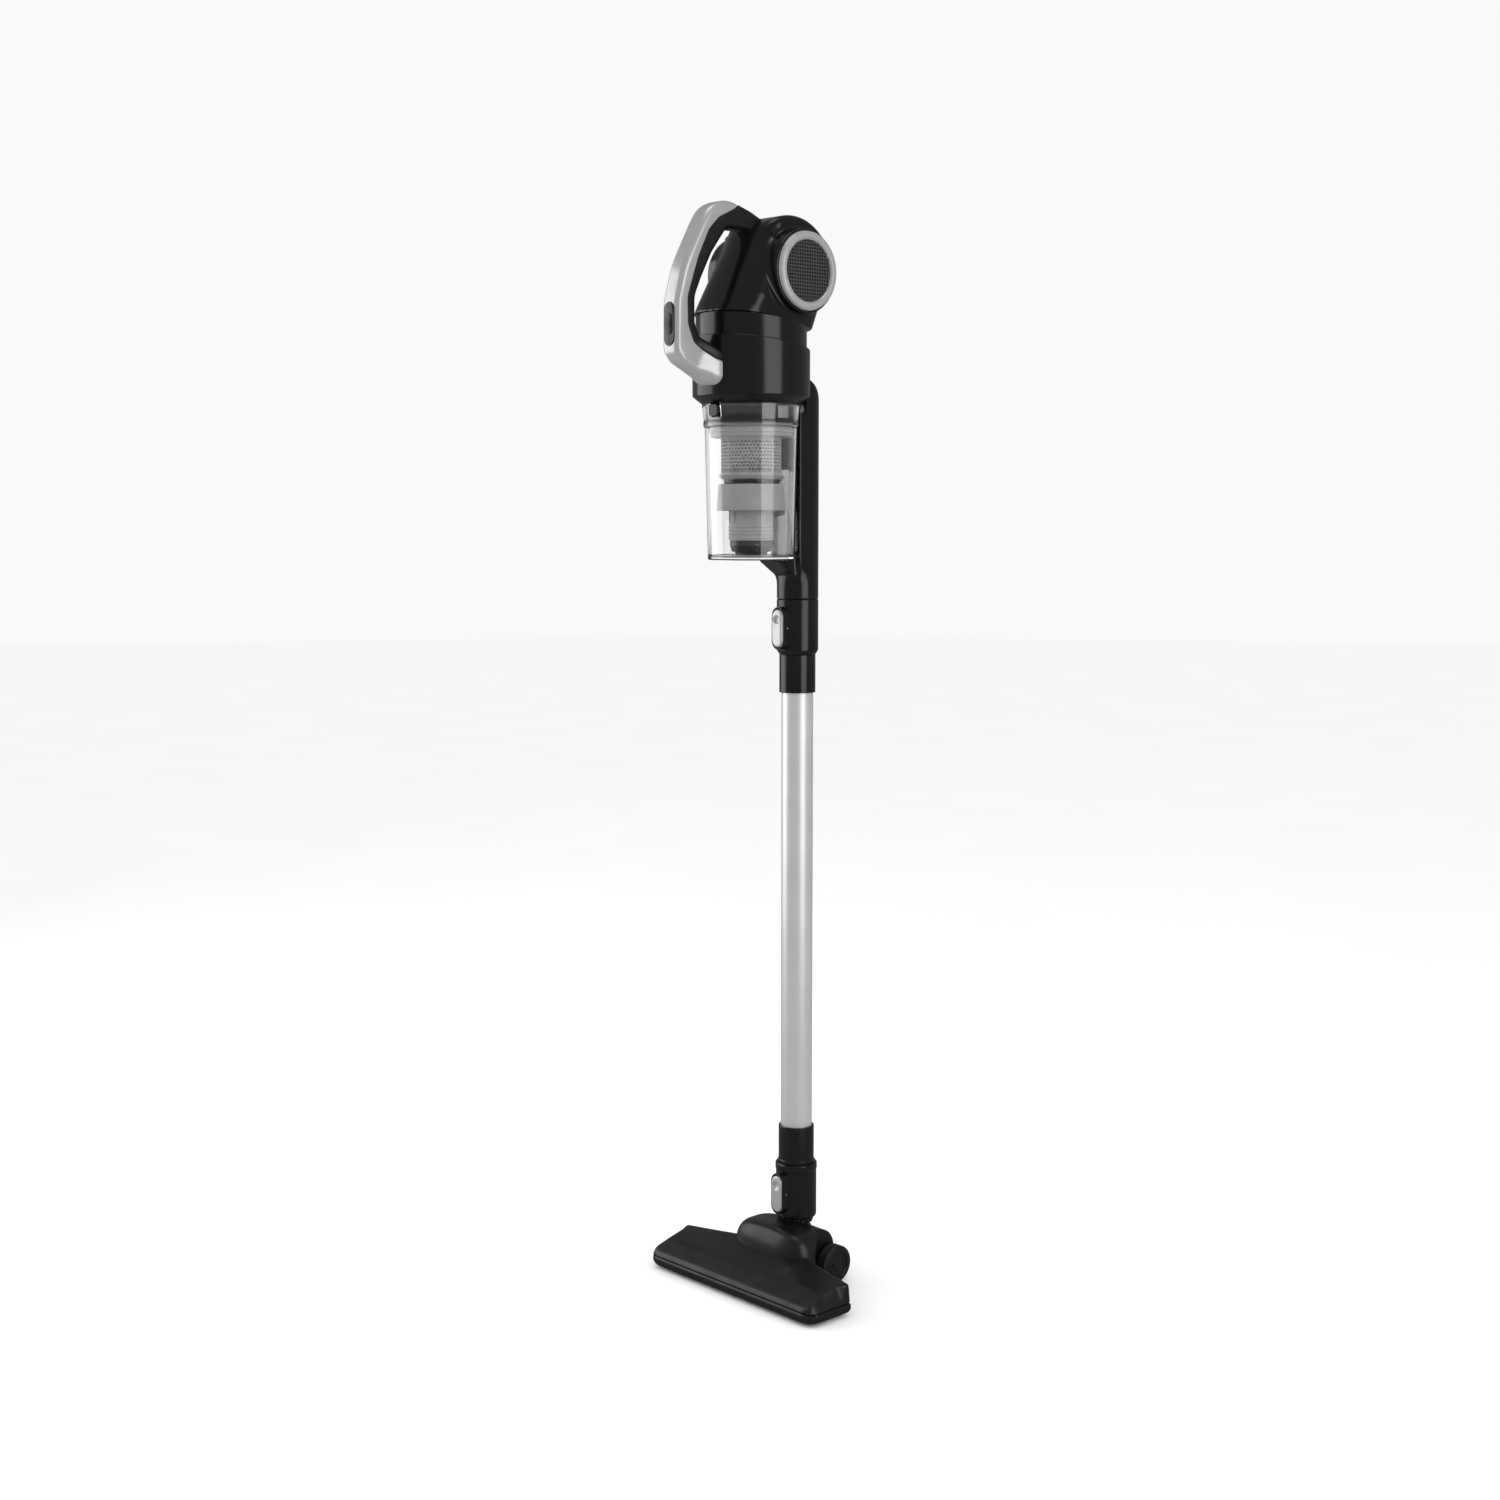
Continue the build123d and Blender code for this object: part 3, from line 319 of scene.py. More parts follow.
def printed_film(name, base, size):
    # Smooth film or varnish over a core: glossy, with a light stretch wrinkle of about size mm.
    material, shader = new_material(name, IOR=1.5)
    position = place(material)
    join(material, shader, Base_Color=cloud(material, position, size, 3.0, shades(base, 0.12)),
         Roughness=cloud(material, position, size, 5.0, [(0.35, 0.2), (0.7, 0.34)]),
         Normal=relief(material, position, size / 3, 2.0, 0.05))
    return material


FINISHES = {}


def make_finishes():
    tints = colours()
    FINISHES.update({
        "abs_satin_black": satin_abs("ABS spark-eroded black", tints.satin_black),
        "abs_gloss_black": gloss_abs("ABS polished black", tints.gloss_black),
        "abs_silver": lacquered_abs("ABS silver lacquered", tints.silver),
        "clear_polycarbonate": clear_polycarbonate("Polycarbonate clear moulded"),
        "filter_grey": moulded_grey("ABS moulded grey", tints.filter_grey),
        "grille_black": satin_abs("Nylon moulded grille", linear("#3C3C3E")),
        "aluminium_tube": anodised_aluminium("Aluminium anodised", tints.tube),
        "rubber_black": moulded_rubber("Rubber moulded", tints.rubber),
        "tyre_rubber": moulded_rubber("Tyre rubber moulded", tints.rubber),
        "steel": plated_steel("Steel zinc plated"),
        "nylon_bristle": fibrous("Nylon bristle", linear("#1A1A1A"), 0.25, (1, 1, 0.05), 0.5),
        "foam_black": fibrous("Polyurethane foam", linear("#1B1B1B"), 0.9, (1, 1, 1), 0.9),
        "paper_filter": fibrous("Filter paper pleated", linear("#D8D5CC"), 0.7, (1, 1, 0.4), 0.85),
        "cell_wrap": printed_film("PVC shrink wrap", linear("#27568C"), 3.0),
        "circuit_board": printed_film("Fibreglass board solder mask", linear("#0F5A32"), 2.0),
        "copper_steel": printed_film("Copper windings varnished", linear("#8A5A38"), 1.2),
    })


# ------------------------------------------------------------------ mesh tools, all in mm

def rounded(corners, steps=6, closed=True):
    """Outline through (x, y, radius) corners, with each round corner as an arc."""
    points = []
    count = len(corners)
    for index, corner in enumerate(corners):
        x, y, radius = (float(value) for value in corner)
        here = Vector((x, y))
        if radius <= 0 or (not closed and index in (0, count - 1)):
            points.append(here)
            continue
        before = Vector(corners[index - 1][:2]) - here
        after = Vector(corners[(index + 1) % count][:2]) - here
        half = before.angle(after) / 2
        cut = min(radius / math.tan(half), 0.49 * before.length, 0.49 * after.length)
        radius = cut * math.tan(half)
        centre = here + (before.normalized() + after.normalized()).normalized() * radius / math.sin(half)
        first = here + before.normalized() * cut - centre
        last = here + after.normalized() * cut - centre
        start = math.atan2(first.y, first.x)
        sweep = math.atan2(first.cross(last), first.dot(last))
        for step in range(steps + 1):
            angle = start + sweep * step / steps
            points.append(centre + radius * Vector((math.cos(angle), math.sin(angle))))
    return points


def piece(name, points, faces, body, slot, replaces=(), sharp=32):
    """Mesh object from points in mm: welded, shaded, given its finish and set on its body."""
    mesh = bpy.data.meshes.new(name)
    mesh.from_pydata([tuple(c * MM for c in p) for p in points], [], faces)
    work = bmesh.new()
    work.from_mesh(mesh)
    bmesh.ops.remove_doubles(work, verts=work.verts, dist=1e-6)
    bmesh.ops.dissolve_degenerate(work, edges=work.edges, dist=1e-7)
    bmesh.ops.recalc_face_normals(work, faces=work.faces)
    work.to_mesh(mesh)
    work.free()
    mesh.shade_smooth()
    mesh.set_sharp_from_angle(angle=math.radians(sharp))
    obj = bpy.data.objects.new(name, mesh)
    bpy.context.scene.collection.objects.link(obj)
    mesh.materials.append(FINISHES[slot])
    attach(obj, body)
    if replaces:
        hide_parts(*replaces)
    return obj


def merged(*shapes):
    """Joins several (points, faces) shapes into one."""
    points, faces = [], []
    for more_points, more_faces in shapes:
        base = len(points)
        points.extend(more_points)
        faces.extend([tuple(base + i for i in face) for face in more_faces])
    return points, faces


def turn(corners, centre, axis="Z", segments=0, steps=5):
    """Turns a closed outline of (radius, height, rounding) corners about an upright or crosswise axis."""
    segments = segments or sizes().turn_steps
    outline = rounded(corners, steps)
    points = []
    for k in range(segments):
        c, s = math.cos(TAU * k / segments), math.sin(TAU * k / segments)
        for r, h in outline:
            r = max(r, 0.0)
            if axis == "Z":
                points.append((centre[0] + r * c, centre[1] + r * s, h))
            else:
                points.append((h, centre[0] + r * c, centre[1] + r * s))
    count = len(outline)
    faces = []
    for k in range(segments):
        for i in range(count):
            if outline[i][0] < 1e-6 and outline[(i + 1) % count][0] < 1e-6:
                continue
            a, b = k * count + i, k * count + (i + 1) % count
            after = ((k + 1) % segments) * count
            faces.append((a, b, after + (i + 1) % count, after + i))
    return points, faces


def both_sides(shape):
    """A shape and its mirror image in the plane x = 0."""
    return merged(shape, mirrored(shape))


def turned(node, suffix, corners, axis, body, slot):
    """Piece turned about an upright axis, in place of one frame node."""
    return piece(f"{node}_{suffix}", *turn(corners, axis), body, slot, [node])


def tube_corners(outer, inner, z0, z1, edge=0.6):
    return [(inner, z0, edge * 0.4), (outer, z0, edge), (outer, z1, edge), (inner, z1, edge * 0.4)]


def disc_corners(radius, z0, z1, edge=0.6):
    return [(0, z0, 0), (radius, z0, edge), (radius, z1, edge), (0, z1, 0)]


def hull_max(a, b, r):
    """Larger of two fields, with the corner between them rounded over about r mm."""
    h = np.clip(0.5 + 0.5 * (a - b) / r, 0, 1)
    return b + (a - b) * h + r * h * (1 - h)


def hull_min(a, b, r):
    return -hull_max(-a, -b, r)


def ramp_between(x, x0, x1):
    t = np.clip((x - x0) / (x1 - x0), 0, 1)
    return t * t * (3 - 2 * t)


def skin(field, start, end, stations, around, caps, reach=160.0):
    """Surface where a solid's field is zero, found by rays cast outwards from a straight core line."""
    start, end = np.array(start, float), np.array(end, float)
    axis = end - start
    length = np.linalg.norm(axis)
    axis = axis / length if length > 0 else np.array([0, 0, 1.0])
    side = np.cross(axis, [0, 1, 0]) if abs(axis[1]) < 0.9 else np.cross(axis, [1, 0, 0])
    side /= np.linalg.norm(side)
    up = np.cross(axis, side)
    rows = [(start, -math.cos(a), math.sin(a)) for a in np.linspace(0, math.pi / 2, caps + 1)]
    rows += [(start + axis * length * t, 0.0, 1.0) for t in np.linspace(0, 1, stations + 2)[1:-1]]
    rows += [(end, math.sin(a), math.cos(a)) for a in np.linspace(0, math.pi / 2, caps + 1)]
    angles = np.linspace(0, TAU, around, endpoint=False)
    spokes = np.outer(np.cos(angles), side) + np.outer(np.sin(angles), up)
    origins = np.concatenate([np.repeat(o[None], around, 0) for o, _, _ in rows])
    rays = np.concatenate([spokes * outward + axis * along for _, along, outward in rows])
    near, far = np.zeros(len(rays)), np.full(len(rays), np.nan)
    for reached in np.linspace(0, reach, 90)[1:]:
        outside = field(origins + rays * reached) > 0
        fresh = outside & np.isnan(far)
        far[fresh] = reached
        near[np.isnan(far)] = reached
    if np.isnan(far).any():
        raise RuntimeError("a skin reaches past its limit")
    for _ in range(22):
        centre = (near + far) / 2
        outside = field(origins + rays * centre[:, None]) > 0
        far = np.where(outside, centre, far)
        near = np.where(outside, near, centre)
    surface = origins + rays * near[:, None]
    faces = []
    for row in range(len(rows) - 1):
        for k in range(around):
            a, b = row * around + k, row * around + (k + 1) % around
            faces.append((a, b, b + around, a + around))
    return [tuple(p) for p in surface], faces


def resample(points, count):
    """The same open line with evenly spaced points."""
    points = np.array(points, float)
    steps = np.linalg.norm(np.diff(points, axis=0), axis=1)
    along = np.concatenate([[0], np.cumsum(steps)])
    wanted = np.linspace(0, along[-1], count)
    return np.stack([np.interp(wanted, along, points[:, i]) for i in range(points.shape[1])], 1)


def ladder(outer, inner, half, outer_round, inner_round, count=150):
    """Bar between two side-view lines (y, z): a rounded box section at each rung, with rounded ends."""
    outer, inner = resample(outer, count), resample(inner, count)
    points, faces = [], []
    for k in range(count):
        o, i = outer[k], inner[k]
        centre = (o + i) / 2
        depth = np.linalg.norm(o - i)
        from_end = min(np.linalg.norm(centre - (outer[e] + inner[e]) / 2) for e in (0, count - 1))
        share = min(1.0, from_end / (depth / 2))
        squeeze = max(0.03, math.sqrt(1 - (1 - share) ** 2))
        direction = (o - i) / depth
        h, w = depth / 2 * squeeze, half[k]
        swell = (w / half[0]) ** 2
        ro, ri = min(outer_round * swell, h * 0.95), min(inner_round * swell, h * 0.95)
        for u, x in rounded([(h, -w, ro), (h, w, ro), (-h, w, ri), (-h, -w, ri)], 6):
            y, z = centre + direction * u
            points.append((x, y, z))
    ring = len(points) // count
    for k in range(count - 1):
        for i in range(ring):
            a, b = k * ring + i, k * ring + (i + 1) % ring
            faces.append((a, b, b + ring, a + ring))
    faces.append(tuple(range(ring)))
    faces.append(tuple(range((count - 1) * ring, count * ring)))
    return points, faces


def cube(x0, x1, y0, y1, z0, z1):
    points = [(x, y, z) for x in (x0, x1) for y in (y0, y1) for z in (z0, z1)]
    faces = [(0, 1, 3, 2), (4, 6, 7, 5), (0, 4, 5, 1), (2, 3, 7, 6), (0, 2, 6, 4), (1, 5, 7, 3)]
    return points, faces


def mirrored(shape):
    points, faces = shape
    return [(-x, y, z) for x, y, z in points], [tuple(reversed(f)) for f in faces]


# ------------------------------------------------------------------ floor head

HEAD_LOW, HEAD_HIGH = low("head_cover"), high("head_cover")
HEAD_HALF = HEAD_HIGH[0]
HEAD_FRONT, HEAD_REAR = HEAD_LOW[1], HEAD_HIGH[1]
HEAD_SEAM, HEAD_TOP = HEAD_LOW[2], HEAD_HIGH[2]
HEAD_OVER = 3.0
HEAD_SWEEP = min(10.0, low("wheel_tyre_right")[1] - HEAD_REAR - 1.0)
TILT_Z = low("neck_elbow")[2] + 21.5


def plan_field(p, inset, cut):
    """Outline of the head from above: straight sides, cut front corners."""
    x, y = np.abs(p[:, 0]), p[:, 1]
    sides = hull_max(x - (HEAD_HALF - inset), HEAD_FRONT + inset - y, 1.5)
    corner = (x - (HEAD_HALF - inset - cut) + HEAD_FRONT + inset - y) * 0.7071
    sweep = HEAD_SWEEP * np.clip((HEAD_HALF - x) / 72, 0, 1)
    return hull_max(hull_max(sides, corner, 6.0), y - (HEAD_REAR + sweep), 2.0)


def cover_field(p):
    x, y, z = np.abs(p[:, 0]), p[:, 1], p[:, 2]
    edge = HEAD_SEAM + 7.0
    lean_back = np.clip(z - HEAD_SEAM, 0, 30) * 0.34
    front = plan_field(p, -HEAD_OVER, 6.0) + lean_back * ramp_between(-y, -HEAD_REAR + 6, -HEAD_REAR + 16)
    slope = (z - edge - (y - HEAD_FRONT - 2.5) * 0.58) * 0.865
    towards_middle = np.clip((HEAD_HALF - x) / 72, 0, 1)
    top = z - (HEAD_TOP - 4.6) - (y - HEAD_FRONT - 18) * (0.125 + 0.12 * towards_middle)
    lean = 0.75 * ramp_between(HEAD_REAR - y, -4, 44)
    end = (x - HEAD_HALF - HEAD_OVER + (z - HEAD_SEAM - 3) * lean) / math.hypot(1, 0.6)
    rear = y - HEAD_REAR - HEAD_SWEEP * towards_middle + (z - HEAD_SEAM) * 0.12
    roof = hull_max(slope, top, 1.6)
    solid = hull_max(hull_max(front, roof, 1.3), hull_max(end, rear, 2.0), 3.0)
    return hull_max(solid, HEAD_SEAM + 0.3 - z, 0.5)


def bumper_field(p):
    z = p[:, 2]
    lo, hi = low("head_bumper")[2], high("head_bumper")[2]
    waist = np.clip(lo + 4.0 - z, 0, 10) * 0.5
    return hull_max(hull_max(plan_field(p, -HEAD_OVER, 6.0) + waist, lo - z, 1.0), z - hi, 1.4)


def dome_field(p):
    """Squarish hump with soft shoulders, hollowed for the neck's barrel and throat."""
    x, y, z = p[:, 0], p[:, 1] - WAND_Y, p[:, 2]
    squareness = 3.4
    reach = (np.abs(x) / 52.5) ** squareness + (np.abs(y + 22) / 28) ** squareness
    body = ((reach + (np.abs(z - 20) / 43.5) ** squareness) ** (1 / squareness) - 1) * 28
    crown = hull_max(body, z - 62.5 + np.abs(x) * 0.05, 4.0)
    barrel = 22.6 - np.sqrt(y ** 2 + (z - TILT_Z) ** 2)
    throat = 18.2 - np.sqrt(x ** 2 + y ** 2)
    solid = hull_max(hull_max(crown, barrel, 1.2), throat, 1.2)
    return hull_max(solid, HEAD_SEAM + 2 - z, 1.0)


class MakeFloorHead(bpy.types.Operator):
    """Top cover, bumper band and duct hump of the floor head"""
    bl_idname = "vacuum.floor_head"
    bl_label = "Floor head shells"

    def execute(self, context):
        core_y = (HEAD_FRONT + HEAD_REAR) / 2 + 3
        shape = skin(cover_field, (-96, core_y, HEAD_SEAM + 5), (96, core_y, HEAD_SEAM + 5), 230, 168, 44)
        piece("head_cover_shell", *shape, "floor_head", "abs_satin_black", ["head_cover"], 40)
        mid_z = middle("head_bumper")[2]
        shape = skin(bumper_field, (-96, core_y, mid_z), (96, core_y, mid_z), 150, 128, 40)
        piece("head_bumper_band", *shape, "floor_head", "abs_satin_black", ["head_bumper"], 40)
        shape = skin(dome_field, (-14, WAND_Y - 30, 36), (14, WAND_Y - 30, 36), 28, 160, 52)
        piece("head_duct_hump", *shape, "floor_head", "abs_satin_black", ["head_dome"], 40)
        return {"FINISHED"}


class MakeBristles(bpy.types.Operator):
    """Tufted bristle strips on both sides of the suction slot"""
    bl_idname = "vacuum.bristles"
    bl_label = "Bristle strips"

    def execute(self, context):
        rng = random.Random(7)
        lo, hi = low("bristle_strips"), high("bristle_strips")
        shapes = []
        for y in (lo[1] + 0.8, hi[1] - 0.8):
            shapes.append(cube(lo[0], hi[0], y - 0.75, y + 0.75, lo[2] + 3.0, hi[2]))
            tufts = 110
            for index in range(tufts):
                x = lo[0] + 1 + (hi[0] - lo[0] - 2) * index / (tufts - 1)
                for _ in range(5):
                    foot = (x + rng.uniform(-0.5, 0.5), y + rng.uniform(-0.4, 0.4))
                    tip = (foot[0] + rng.uniform(-0.35, 0.35), foot[1] + rng.uniform(-0.3, 0.3))
                    shapes.append(bristle(foot, tip, lo[2] + 3.2, lo[2] + rng.uniform(0.0, 0.4)))
        piece("bristle_tufts", *merged(*shapes), "floor_head", "nylon_bristle", ["bristle_strips"])
        return {"FINISHED"}


def bristle(foot, tip, z_top, z_tip, radius=0.13):
    """One tapered three-sided bristle."""
    points, faces = [], [(0, 1, 4, 3), (1, 2, 5, 4), (2, 0, 3, 5), (2, 1, 0), (3, 4, 5)]
    for (x, y), z, r in ((foot, z_top, radius), (tip, z_tip, radius * 0.6)):
        for k in range(3):
            points.append((x + r * math.cos(TAU * k / 3), y + r * math.sin(TAU * k / 3), z))
    return points, faces


class MakeWheels(bpy.types.Operator):
    """Rear wheels with grooved tyres, and the two small front rollers"""
    bl_idname = "vacuum.wheels"
    bl_label = "Wheels and rollers"

    def execute(self, context):
        for side in ("left", "right"):
            tyre, hub = f"wheel_tyre_{side}", f"wheel_hub_{side}"
            centre = middle(tyre)[1:]
            radius = (high(tyre)[1] - low(tyre)[1]) / 2
            inner_x, outer_x = low("wheel_hub_right")[0], high("wheel_hub_right")[0]
            shape = turn(tyre_corners(radius, inner_x + 1, outer_x - 0.6), centre, "X")
            disc = turn(hub_corners(radius - 3.0, inner_x, outer_x), centre, "X")
            if side == "left":
                shape, disc = mirrored(shape), mirrored(disc)
            piece(f"{tyre}_grooved", *shape, f"wheel_{side}", "tyre_rubber", [tyre])
            piece(f"{hub}_disc", *disc, f"wheel_{side}", "abs_satin_black", [hub])
            roller = f"front_roller_{side}"
            place_x, place_y, place_z = middle(roller)
            r = (high(roller)[2] - low(roller)[2]) / 2
            corners = [(0, place_x - 8.2, 0), (1.5, place_x - 8.2, 0.3), (1.5, place_x - 6, 0),
                       (r, place_x - 6, 1.2), (r, place_x + 6, 1.2), (1.5, place_x + 6, 0),
                       (1.5, place_x + 8.2, 0.3), (0, place_x + 8.2, 0)]
            piece(f"{roller}_drum", *turn(corners, (place_y, place_z), "X", 64), f"roller_{side}",
                  "abs_satin_black", [roller])
        return {"FINISHED"}


def tyre_corners(radius, x0, x1):
    """Tyre section with three tread grooves."""
    corners = [(radius - 3.0, x0, 0.2), (radius, x0, 1.4)]
    for groove in (0.3, 0.5, 0.7):
        x = x0 + (x1 - x0) * groove
        corners += [(radius, x - 0.5, 0.15), (radius - 0.7, x - 0.25, 0.1), (radius - 0.7, x + 0.25, 0.1),
                    (radius, x + 0.5, 0.15)]
    return corners + [(radius, x1, 1.4), (radius - 3.0, x1, 0.2)]


def hub_corners(radius, x0, x1):
    """Hub section: raised rim, dished face with one ring on it, and a boss."""
    face = x1 - 1.6
    step = (radius + 3.0) / 2
    return [(3.1, x0, 0.2), (radius, x0, 0.4), (radius, x1 - 0.2, 0.7), (radius - 2.6, x1 - 0.2, 0.5),
            (radius - 3.2, face, 0.4), (step + 1.4, face, 0.2), (step + 1.0, face + 0.7, 0.2),
            (step - 0.2, face + 0.7, 0.2), (step - 0.6, face, 0.2), (6.0, face, 0.3),
            (5.6, x1 - 0.3, 0.5), (0, x1 - 0.3, 0), (0, x0 + 3, 0), (3.1, x0 + 3, 0)]


# ------------------------------------------------------------------ neck, sockets and wand

class MakeNeck(bpy.types.Operator):
    """Tilting barrel and the ribbed throat above it"""
    bl_idname = "vacuum.neck"
    bl_label = "Neck"

    def execute(self, context):
        lo, hi = low("neck_elbow"), high("neck_elbow")
        radius = TILT_Z - lo[2]
        end = hi[0]
        corners = [(0, -end, 0), (7.9, -end, 0.4), (7.9, -25, 0.2), (radius - 0.2, -25, 1.8),
                   (radius, -22.0, 0.4), (radius, 22.0, 0.4), (radius - 0.2, 25, 1.8), (7.9, 25, 0.2),
                   (7.9, end, 0.4), (0, end, 0)]
        barrel = turn(corners, (WAND_Y, TILT_Z), "X")
        socket_z = low("lower_socket")[2]
        throat = [(11.4, TILT_Z, 0), (18.6, TILT_Z, 0), (17.6, TILT_Z + 15, 8), (14.2, socket_z - 8.5, 2),
                  (14.2, socket_z - 6.6, 0.3), (16.4, socket_z - 6.0, 0.5), (16.4, socket_z - 0.5, 0.5),
                  (13.4, socket_z - 0.5, 0.1), (13.4, socket_z + 5, 0.2), (14.4, socket_z + 5.4, 0.2),
                  (14.4, socket_z + 7.3, 0.3), (11.4, socket_z + 7.3, 0.3)]
        ribs = [neck_rib(angle, socket_z) for angle in range(0, 360, 24)]
        shape = merged(barrel, turn(throat, (0, WAND_Y)), *ribs)
        piece("neck_barrel_and_throat", *shape, "neck", "abs_satin_black", ["neck_elbow"])
        return {"FINISHED"}


def neck_rib(angle, socket_z):
    """One small finger rib on the neck ring, below the socket."""
    c, s = math.cos(math.radians(angle)), math.sin(math.radians(angle))
    points, faces = turn(disc_corners(1.5, socket_z - 5.6, socket_z - 1.0, 0.7), (0, 0), "Z", 12)
    return [(x + 16.2 * c, WAND_Y + y + 16.2 * s, z) for x, y, z in points], faces


def latch_field(width, height, front, back, z, edge):
    """Upright stadium slab; front and back are distances in front of the wand axis."""
    def field(p):
        x, y, h = p[:, 0], WAND_Y - p[:, 1], p[:, 2] - z
        reach = (height - width) / 2
        ring = np.sqrt(x ** 2 + (h - np.clip(h, -reach, reach)) ** 2) - width / 2
        return hull_max(hull_max(ring, y - front, edge), back - y, 0.5)
    return field


def socket_corners(node):
    z0, z1 = heights(node)
    if node == "lower_socket":
        return [(17.3, z0 + 14, 0), (13.7, z0 + 10, 0.3), (13.7, z0, 0.3), (20.0, z0, 0.6),
                (SOCKET_R, z0 + 2.0, 1.2), (SOCKET_R, z1 - 7.5, 0.5), (21.4, z1 - 6.8, 0.4),
                (21.4, z1 - 1.2, 0.4), (20.6, z1, 0.5), (17.3, z1, 0.3)]
    return [(15.1, z0, 0.3), (18.4, z0, 0.5), (SOCKET_R, z0 + 4.2, 1.6), (SOCKET_R, z1 - 0.1, 0.7),
            (17.3, z1 - 0.1, 0.3), (17.3, z0 + 12, 0), (15.1, z0 + 10, 0)]


class MakeSockets(bpy.types.Operator):
    """Sockets with their latch surrounds, rocking latch buttons and pins"""
    bl_idname = "vacuum.sockets"
    bl_label = "Sockets and latches"

    def execute(self, context):
        for prefix, ring_body, latch_body in (("lower", "neck_socket", "lower_latch"),
                                              ("upper", "wand", "upper_latch")):
            node, button = f"{prefix}_socket", f"{prefix}_latch_button"
            z = middle(button)[2]
            front = WAND_Y - low(button)[1]
            height = high(button)[2] - low(button)[2]
            width = high(button)[0] - low(button)[0]
            surround_front = WAND_Y - low(node)[1]
            pocket = outline_points(width + 0.9, height + 1.9)
            shape = slab_ring(outline_points(18.2, 43.2), pocket, z, surround_front, 15.0)
            piece(f"{node}_moulding", *merged(turn(socket_corners(node), WAND_AXIS), shape), ring_body,
                  "abs_gloss_black", [node])
            piece(button + "_pressing",
                  *skin(button_field(width, height, front, WAND_Y - high(button)[1] + BUTTON_CLEAR, z),
                  (0, WAND_Y - front + 3.2, z - 11), (0, WAND_Y - front + 3.2, z + 11), 56, 96, 30, 60),
                  latch_body, "abs_silver", [button], 40)
            pin = f"{prefix}_latch_pin"
            pin_shape = turn(disc_corners(1.15, -9.3, 9.3, 0.4), middle(pin)[1:], "X", 24)
            piece(pin + "_rivet", *pin_shape, ring_body, "steel", [pin])
            spring = f"{prefix}_latch_spring"
            wire = coil(middle(spring), low(spring)[1], high(spring)[1])
            wound = piece(spring + "_coil", *wire, ring_body, "steel", [spring])
            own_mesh(wound)
        return {"FINISHED"}


def outline_points(width, height, steps=20):
    reach = (height - width) / 2
    top = [(width / 2 * math.cos(a), reach + width / 2 * math.sin(a))
           for a in np.linspace(0, math.pi, steps)]
    return top + [(-x, -z) for x, z in top]


def slab_ring(outer, inner, z, front, back):
    """Raised rim between two stadium outlines, with rounded lips and a floor."""
    lip = 0.9
    rings = [(outer, 0, back), (outer, 0, front - lip), (outer, 0.28 * lip, front - 0.3 * lip),
             (outer, lip, front), (inner, -0.3, front), (inner, 0, front - 0.4), (inner, 0, 19.0)]
    points, faces = [], []
    for line, inset, depth in rings:
        for x, h in line:
            length = math.hypot(x, h)
            points.append((x * (1 - inset / length), WAND_Y - depth, z + h * (1 - inset / length)))
    count = len(outer)
    for k in range(len(rings) - 1):
        for i in range(count):
            a, b = k * count + i, k * count + (i + 1) % count
            faces.append((a, b, b + count, a + count))
    faces.append(tuple(range((len(rings) - 1) * count, len(rings) * count)))
    faces.append(tuple(range(count)))
    return points, faces


def button_field(width, height, front, back, z):
    slab = latch_field(width, height, front, back, z, 2.4)

    def field(p):
        dimple_z = z + height / 2 - 10.0
        crown = np.clip(np.abs(p[:, 2] - z) - 4, 0, 30) ** 2 * 0.0035
        distance = np.sqrt(p[:, 0] ** 2 + (p[:, 2] - dimple_z) ** 2 + (p[:, 1] - WAND_Y + front + 3.5) ** 2)
        return hull_max(slab(p + np.stack([0 * crown, -crown, 0 * crown], 1)), 5.7 - distance, 0.5)
    return field


def coil(centre, y0, y1, turns=4, wire=0.28):
    """Small compression spring along Y."""
    points, faces = [], []
    steps, ring = turns * 20, 8
    for k in range(steps + 1):
        a = TAU * turns * k / steps
        y = y0 + wire + (y1 - y0 - 2 * wire) * k / steps
        for j in range(ring):
            b = TAU * j / ring
            r = 2.6 + wire * math.cos(b)
            points.append((centre[0] + r * math.cos(a), y + wire * math.sin(b),
                           centre[2] + r * math.sin(a)))
    for k in range(steps):
        for j in range(ring):
            a, b = k * ring + j, k * ring + (j + 1) % ring
            faces.append((a, b, b + ring, a + ring))
    faces += [tuple(range(ring)), tuple(range(steps * ring, (steps + 1) * ring))]
    return points, faces


